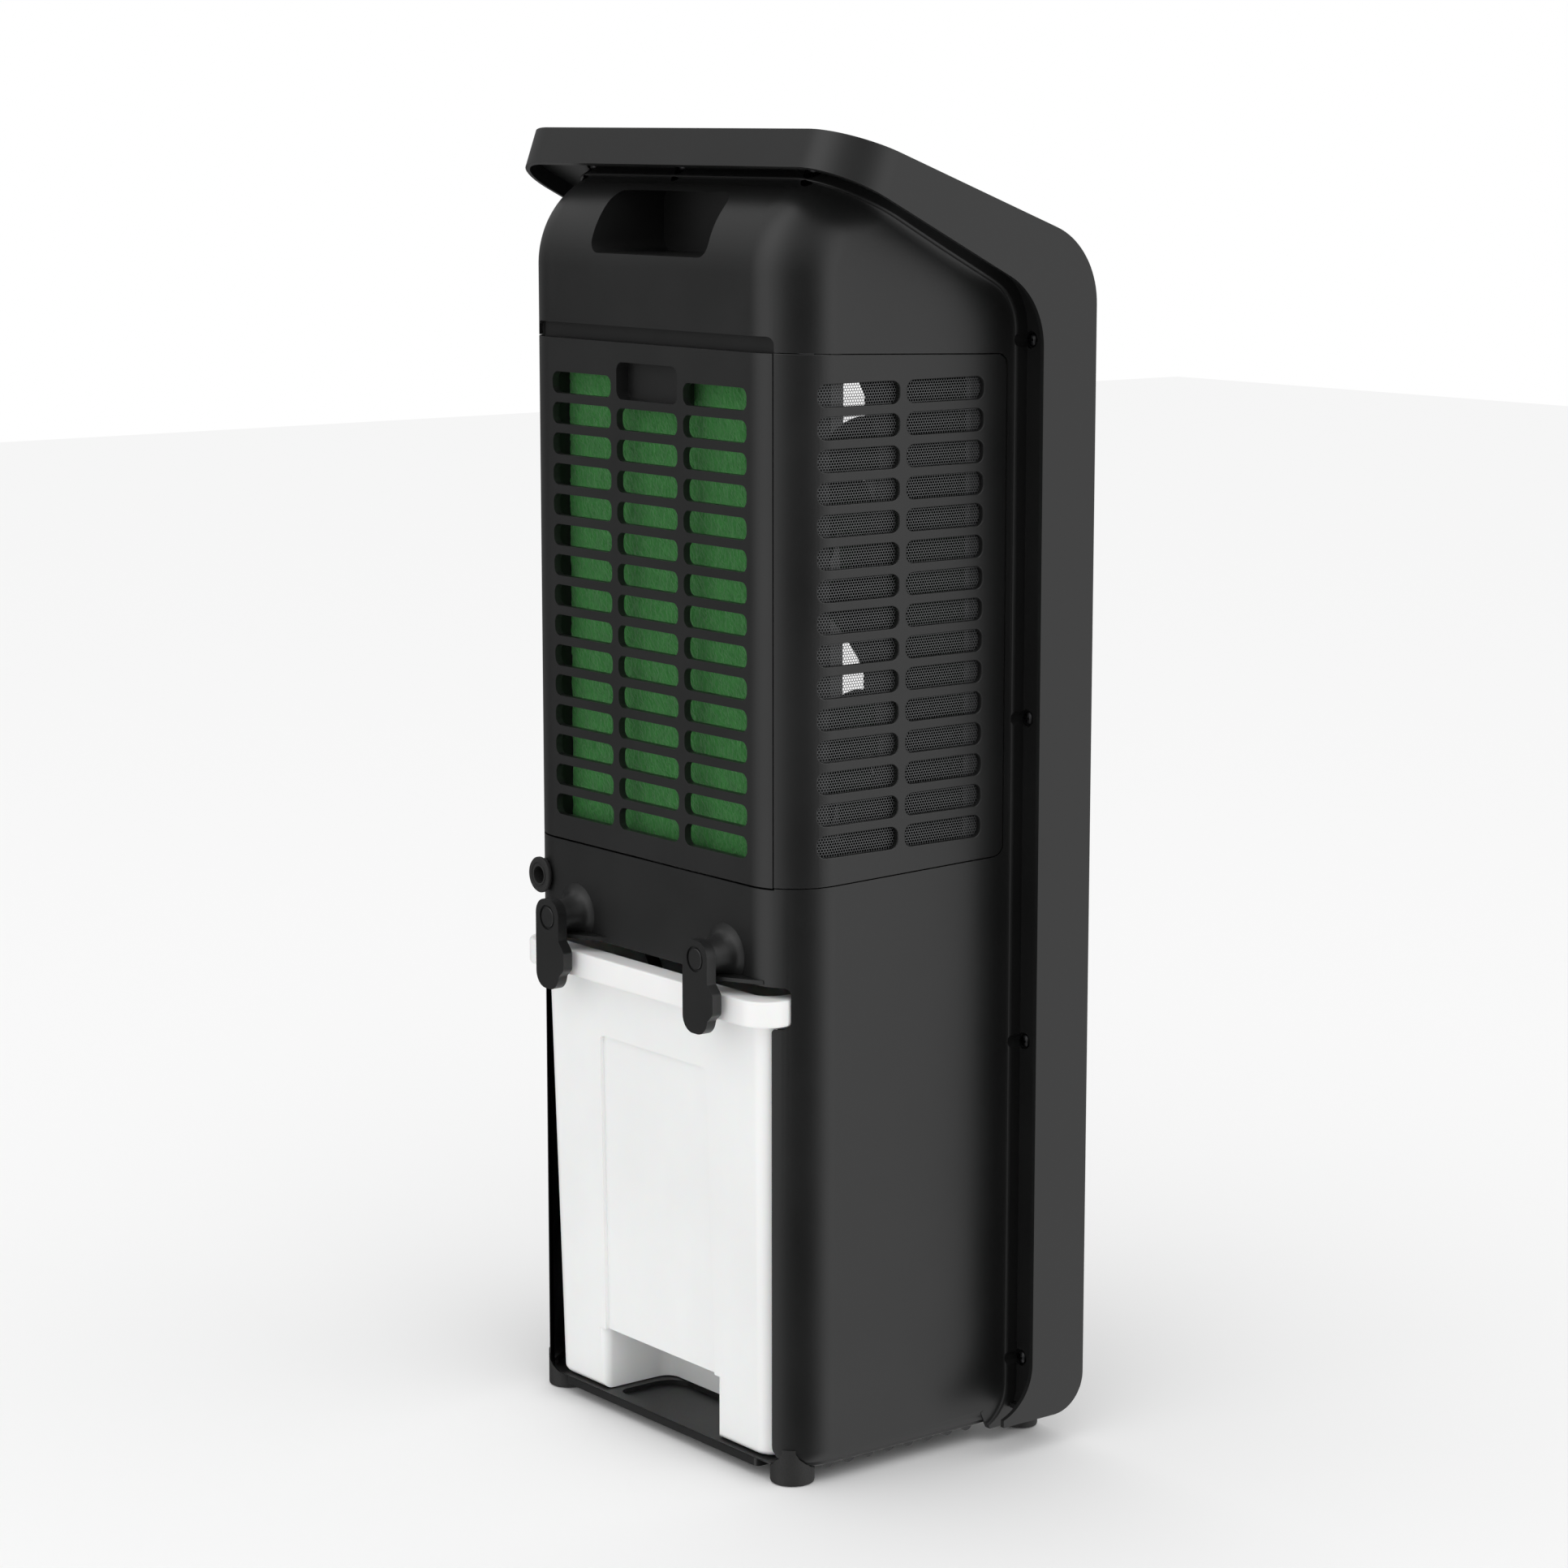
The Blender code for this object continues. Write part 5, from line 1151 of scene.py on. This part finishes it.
def stacked(rows):
    """A closed solid through outlines at rising heights, all with the same number of points."""
    return skinned([[(x, y, z) for x, y in outline] for outline, z in rows])


def rolled_rim():
    """The tank's rim: a block with rounded upper and lower edges."""
    rear = REAR + RIM_PROUD
    front = at_depth(TANK_FRONT_DEPTH + 0.002)
    soft = 0.0016
    rows = []
    for z, shrink in [(RIM_LOW, soft), (RIM_LOW + soft * 0.3, soft * 0.3), (RIM_LOW + soft, 0.0),
                      (TANK_HIGH.z - soft, 0.0), (TANK_HIGH.z - soft * 0.3, soft * 0.3), (TANK_HIGH.z, soft)]:
        half = TANK_HIGH.x - shrink
        rows.append((even([(half, front + shrink, 0.01), (half, rear - shrink, 0.015)]), z))
    return stacked(rows)


def finger_notch(face):
    """The room for fingers under the tank, with rounded edges where it meets the tank's face."""
    edge = NOTCH_HALF + NOTCH_EDGE_R
    edge_y = face - NOTCH_EDGE_R
    right_angle, step = math.radians(90), math.radians(9)
    left = arc((-edge, edge_y), NOTCH_EDGE_R, right_angle, 0, step)
    right = arc((edge, edge_y), NOTCH_EDGE_R, 2 * right_angle, right_angle, step)
    back = rounded([(-NOTCH_HALF, face - 0.015, 0), (-NOTCH_HALF, at_depth(NOTCH_DEPTH), 0.008),
                    (NOTCH_HALF, at_depth(NOTCH_DEPTH), 0.008), (NOTCH_HALF, face - 0.015, 0)])
    plan = [*left, *back, *right, (edge, REAR + 0.02), (-edge, REAR + 0.02)]
    return solid([plan], "XY", -0.01, NOTCH_TOP)


def tank():
    """A tapered white tank with a rolled rim, a sunk front panel and a finger notch under it."""
    foot_r = 0.0035
    rows = []
    for i in range(6):
        turn = math.radians(90) * i / 5
        rows.append((tank_section(foot_r * (1 - math.sin(turn)), 0), TANK_FLOOR + foot_r * (1 - math.cos(turn))))
    body = stacked([*rows, (tank_section(0, 1), RIM_LOW + 0.001)])
    inside = stacked([(tank_section(TANK_WALL, 0), TANK_FLOOR + TANK_WALL),
                      (tank_section(TANK_WALL, 1.08), TANK_HIGH.z + 0.003)])
    block = slab(NOTCH_HALF + TANK_WALL, (-0.02, NOTCH_DEPTH + TANK_WALL),
                 (TANK_FLOOR - 0.001, NOTCH_TOP + TANK_WALL))
    lean = math.atan((TANK_PROUD[1] - TANK_PROUD[0]) / (RIM_LOW - TANK_FLOOR))
    turn = Matrix.Translation((0, REAR, TANK_FLOOR)) @ Matrix.Rotation(-lean, 4, "X")
    turn = turn @ Matrix.Translation((0, -REAR, -TANK_FLOOR))
    low, high = SUNK_HALF
    floor_y = REAR + TANK_PROUD[0] - SUNK_DEPTH
    sunk_low = NOTCH_TOP - 0.010
    sunk = solid([even([(low, sunk_low, 0), (high, SUNK_TOP, 0.003)])], "XZ", floor_y, REAR + 0.02, turn)
    backing = solid([even([(low + TANK_WALL, sunk_low, 0), (high + TANK_WALL, SUNK_TOP + TANK_WALL, 0)])], "XZ",
                    floor_y - TANK_WALL, REAR + 0.02, turn)
    notch = finger_notch(REAR + TANK_PROUD[0] + 0.0004)
    shape = cut(join(body, rolled_rim()), cut(inside, block, backing), notch, sunk)
    piece("tank", shape, WHITE, "water_tank", 0.0011, 3)


def latches():
    """Turning latches: a flat bar with a side lobe, on a pin in a round seat."""
    front = HIGH.y - (LATCH_HIGH.y - LATCH_LOW.y)
    for name in SIDES:
        x, z = centre_xz("latch_pin_" + name)
        left, right, lobe = x - LATCH_HALF, x + LATCH_HALF, x - LATCH_LOBE_X
        foot, top = z - LATCH_FOOT, z + LATCH_TOP
        outline = rounded([
            (left, top, LATCH_END_R), (left, foot + 0.027, 0.002), (lobe, foot + 0.022, 0.003),
            (lobe, foot + 0.012, 0.003), (left, foot + 0.008, 0.002), (left, foot, LATCH_END_R),
            (right, foot, LATCH_END_R), (right, top, LATCH_END_R),
        ])
        bar = solid([outline], "XZ", front, HIGH.y)
        hole = cylinder((x, 0, z), 0.0048, HIGH.y - 0.02, HIGH.y + 0.01, "Y", 48)
        seat = cylinder((x, 0, z), 0.0067, HIGH.y - 0.0012, HIGH.y + 0.01, "Y", 64)
        piece("latch_bar_" + name, cut(bar, hole, seat), BLACK, "latch_" + name, 0.0008, 3)
        start, cap_low, cap = REAR + BOSS_PROUD + 0.0004, HIGH.y - 0.0010, HIGH.y - 0.0001
        pin = turned([(0, start), (PIN_R, start), (PIN_R, cap_low), (PIN_CAP_R, cap_low), (PIN_CAP_R, cap - 0.0004),
                      (PIN_CAP_R - 0.0004, cap), (0, cap)], (x, 0, z), "Y", 48)
        piece("latch_screw_" + name, pin, BLACK, "latch_pin_" + name, 0.00015, 2)


def gland():
    """The cord's bush: a collar, a sleeve and an open bore."""
    x, z = centre_xz("cord_gland")
    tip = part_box("cord_gland")[1].y
    outside = solid([plan_outline(-GAP, 0.1)], "XY", 0.2, 0.4)
    sleeve = cut(cylinder((x, 0, z), SLEEVE_R, at_depth(0.012), tip - 0.0006, "Y", 72), outside)
    collar = turned([(radius, tip + out) for radius, out in COLLAR_PROFILE], (x, 0, z), "Y", 72)
    neck = cylinder((x, 0, z), 0.0058, at_depth(0.0130), tip - 0.001, "Y", 48)
    bore = cylinder((x, 0, z), 0.0047, at_depth(0.03), REAR + 0.02, "Y", 48)
    piece("cord_bush", cut(join(sleeve, collar, neck), bore), RUBBER, "cord_gland")


# ---- fans and controls

HUB_R = 0.019
BLADE_COUNT = 7
BUTTON_PITCH = 0.024
BUTTON_Y = -0.0125
WINDOW_LOW, WINDOW_HIGH = (-0.0263, 0.0027), (0.0263, 0.0203)
SEAT_PROFILE = ((0, -0.01), (0.0065, -0.01), (0.0065, -0.0016), (0.0082, 0.0004), (0, 0.0004))
CAP_PROFILE = ((0, -0.0042), (0.0074, -0.0042), (0.0074, -0.0029), (0.0060, -0.0029), (0.0060, 0.0002),
               (0.0057, 0.0007), (0.0050, 0.0010), (0.0036, 0.0007), (0.0018, 0.0005), (0, 0.00045))


def blade_section(share):
    """The aerofoil outline of a fan blade at a share of its length: points across and through the blade."""
    chord = (0.022 + 0.010 * share) * (1.0 - 0.12 * max(0.0, share - 0.85) / 0.15)
    upper, lower = [], []
    for i in range(11):
        c = i / 10
        camber = 0.0016 * 4 * c * (1 - c)
        thick = 0.0007 + 0.0012 * math.sqrt(c + 0.02) * (1 - c)
        upper.append(((c - 0.5) * chord, camber + thick / 2))
        lower.append(((c - 0.5) * chord, camber - thick / 2))
    return [*upper, *reversed(lower)]


def fan_blade(centre_z, middle, tip_r, turn):
    """One twisted and swept blade with an aerofoil section."""
    rings = []
    for i in range(15):
        share = i / 14
        radius = HUB_R - 0.003 + (tip_r - HUB_R + 0.003) * share
        pitch = math.radians(48 - 22 * share)
        ring = []
        for across, lift in blade_section(share):
            around = 0.45 * share * share + (across * math.cos(pitch) - lift * math.sin(pitch)) / radius
            depth = (across * math.sin(pitch) + lift * math.cos(pitch)) * 0.75
            angle = turn + around
            ring.append((radius * math.cos(angle), middle + depth, centre_z + radius * math.sin(angle)))
        rings.append(ring)
    return skinned(rings)


def fans():
    for name, z in zip(("lower", "upper"), FAN_CENTRES_Z):
        low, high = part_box("fan_" + name)
        hub = turned([(0, low.y), (HUB_R - 0.003, low.y), (HUB_R - 0.0008, low.y + 0.0008), (HUB_R, low.y + 0.003),
                      (HUB_R, high.y), (HUB_R - 0.002, high.y), (HUB_R - 0.002, high.y - 0.006),
                      (0.006, high.y - 0.006), (0.005, high.y), (0.0032, high.y), (0.0032, high.y - 0.013),
                      (0, high.y - 0.013)], (0, 0, z), "Y", 72)
        tip_r = (high.x - low.x) / 2 - 0.0006
        blades = [fan_blade(z, (low.y + high.y) / 2, tip_r, math.tau * i / BLADE_COUNT) for i in range(BLADE_COUNT)]
        piece("fan_wheel_" + name, join(hub, *blades), GREY, "fan_" + name)


def panel_solid(low_corner, high_corner, radius, low, high):
    """A rounded plate on the lid, between two heights over its surface."""
    return solid([box_outline(low_corner, high_corner, radius)], "XY", low, high, lid_matrix(PANEL_ALONG))


def panel_round(x, y, profile):
    shape = turned(profile, (x, y, 0))
    shape.transform(lid_matrix(PANEL_ALONG))
    return shape


def controls():
    """The touch panel on the lid: a plate with round buttons in dished seats and a smoked display."""
    half = (PANEL_HALF[0] - GAP, PANEL_HALF[1] - GAP)
    plate = panel_solid((-half[0], -half[1]), half, 0.0056, -0.0024, -0.0002)
    centres = [((i - 2) * BUTTON_PITCH, BUTTON_Y) for i in range(5)]
    holes = [panel_round(x, y, SEAT_PROFILE) for x, y in centres]
    window_hole = panel_solid(WINDOW_LOW, WINDOW_HIGH, 0.002, -0.01, 0.01)
    piece("control_plate", cut(plate, *holes, window_hole), GREY, "control_panel", 0.0003, 2)
    glass = panel_solid((WINDOW_LOW[0] + 0.0003, WINDOW_LOW[1] + 0.0003),
                        (WINDOW_HIGH[0] - 0.0003, WINDOW_HIGH[1] - 0.0003), 0.0017, -0.0022, -0.0004)
    piece("display_glass", glass, WINDOW, "display_window", 0.0003, 3)
    for i, (x, y) in enumerate(centres):
        piece("button_cap_%d" % (i + 1), panel_round(x, y, CAP_PROFILE), BUTTON, "button_%d" % (i + 1))


# ---- CAD nodes shown as they are

FINISHES = {
    "black_plastic": BLACK, "inner_plastic": DARK, "grey_plastic": GREY, "rubber": RUBBER, "steel": STEEL,
    "circuit_board": BOARD,
}


def dress(name, bevel=0.0004):
    item = NODES[name]
    item.data.materials.clear()
    item.data.materials.append(FINISHES[SLOT_OF[name]])
    smooth(item, bevel, 2)


def dress_inner_parts():
    for name in ("pad_frame", "fan_shroud", "motor_mount_lower", "motor_mount_upper", "motor_lower", "motor_upper",
                 "louvre_frame", "swing_motor", "vane_link", "water_pump", "pump_impeller", "drip_tray",
                 "control_board"):
        dress(name)
    for i in range(6):
        dress("louvre_%d" % (i + 1), 0.0003)
    for i in range(4):
        dress("vane_%d" % (i + 1), 0.0002)
    dress("water_hose", 0)
    rounder = NODES["water_hose"].modifiers.new("round", "SUBSURF")
    rounder.levels = 1
    rounder.render_levels = 1


# ---- light and floor


def world():
    """White to the camera, even white for matt light, and soft panels with dark gaps for what surfaces mirror."""
    made = bpy.data.worlds.new("studio")
    bpy.context.scene.world = made
    made.use_nodes = True
    made.cycles.sampling_method = "NONE"
    tree = made.node_tree
    tree.nodes.clear()

    def node(kind, *links, **values):
        return add_node(tree, kind, links, **values)

    axes = node("SeparateXYZ", (0, node("TexCoord").outputs["Generated"])).outputs
    angle = node("Math", (0, axes["Y"]), (1, axes["X"]), operation="ARCTAN2").outputs[0]
    turn = node("Math", (0, node("Math", (0, angle), (1, 1 / math.tau), operation="MULTIPLY").outputs[0]),
                (1, 1.0), operation="WRAP")
    turn.inputs[2].default_value = 0.0
    ramp = node("ValToRGB", (0, turn.outputs[0]))
    ramp.color_ramp.interpolation = "EASE"
    stops = [(0, 0.16), (28, 0.07), (46, 0.16), (62, 1.0), (80, 1.25), (100, 0.70), (122, 0.12), (140, 0.0),
             (166, 0.02), (184, 0.50), (197, 1.30), (211, 1.30), (226, 0.90), (250, 0.60), (310, 0.40), (360, 0.16)]
    elements = ramp.color_ramp.elements
    for index, (degrees, value) in enumerate(stops):
        stop = elements[index] if index < 2 else elements.new(degrees / 360)
        stop.position = degrees / 360
        stop.color = (value, value, value, 1)
    height = node("MapRange", (0, axes["Z"]), (1, -0.05), (2, 0.65), (3, 0.0), (4, 0.55),
                  interpolation_type="SMOOTHSTEP").outputs[0]
    mirrored_light = node("Math", (0, ramp.outputs[0]), (1, height), operation="ADD").outputs[0]
    path = node("LightPath").outputs
    matt = node("Mix", (0, path["Is Glossy Ray"]), (2, WORLD_LIGHT), (3, mirrored_light)).outputs[0]
    shown = node("Mix", (0, path["Is Camera Ray"]), (2, matt), (3, BACKGROUND)).outputs[0]
    tree.links.new(node("Background", (0, (1, 1, 1, 1)), (1, shown)).outputs[0],
                   node("OutputWorld").inputs["Surface"])


def studio():
    scene = bpy.context.scene
    scene.view_settings.view_transform = "Standard"
    scene.view_settings.look = "None"
    world()
    floor = bpy.data.objects.new("floor", solid([box_outline((-6, -6), (6, 6))], "XY", -0.01, -0.0001))
    scene.collection.objects.link(floor)
    pale = bpy.data.materials.new("pale_floor")
    pale.use_nodes = True
    shader = pale.node_tree.nodes["Principled BSDF"]
    shader.inputs["Base Color"].default_value = (0.90, 0.90, 0.90, 1)
    shader.inputs["Roughness"].default_value = 0.9
    shader.inputs["Specular IOR Level"].default_value = 0.0
    floor.data.materials.append(pale)
    floor.visible_glossy = False
    lamp = bpy.data.objects.new("key", bpy.data.lights.new("key", "AREA"))
    scene.collection.objects.link(lamp)
    lamp.data.shape = "DISK"
    lamp.data.size = 2.2
    lamp.data.energy = KEY_POWER
    lamp.location = (-1.5, 1.0, 2.4)
    lamp.rotation_mode = "QUATERNION"
    lamp.rotation_quaternion = (Vector((0, 0, 0.3)) - lamp.location).to_track_quat("-Z", "Y")
    lamp.visible_glossy = False


front_shell()
rear_housing()
screw_heads()
rear_panel()
side_panels()
side_screens()
pad()
base_plate()
feet()
tank()
latches()
gland()
fans()
controls()
dress_inner_parts()
studio()
camera()
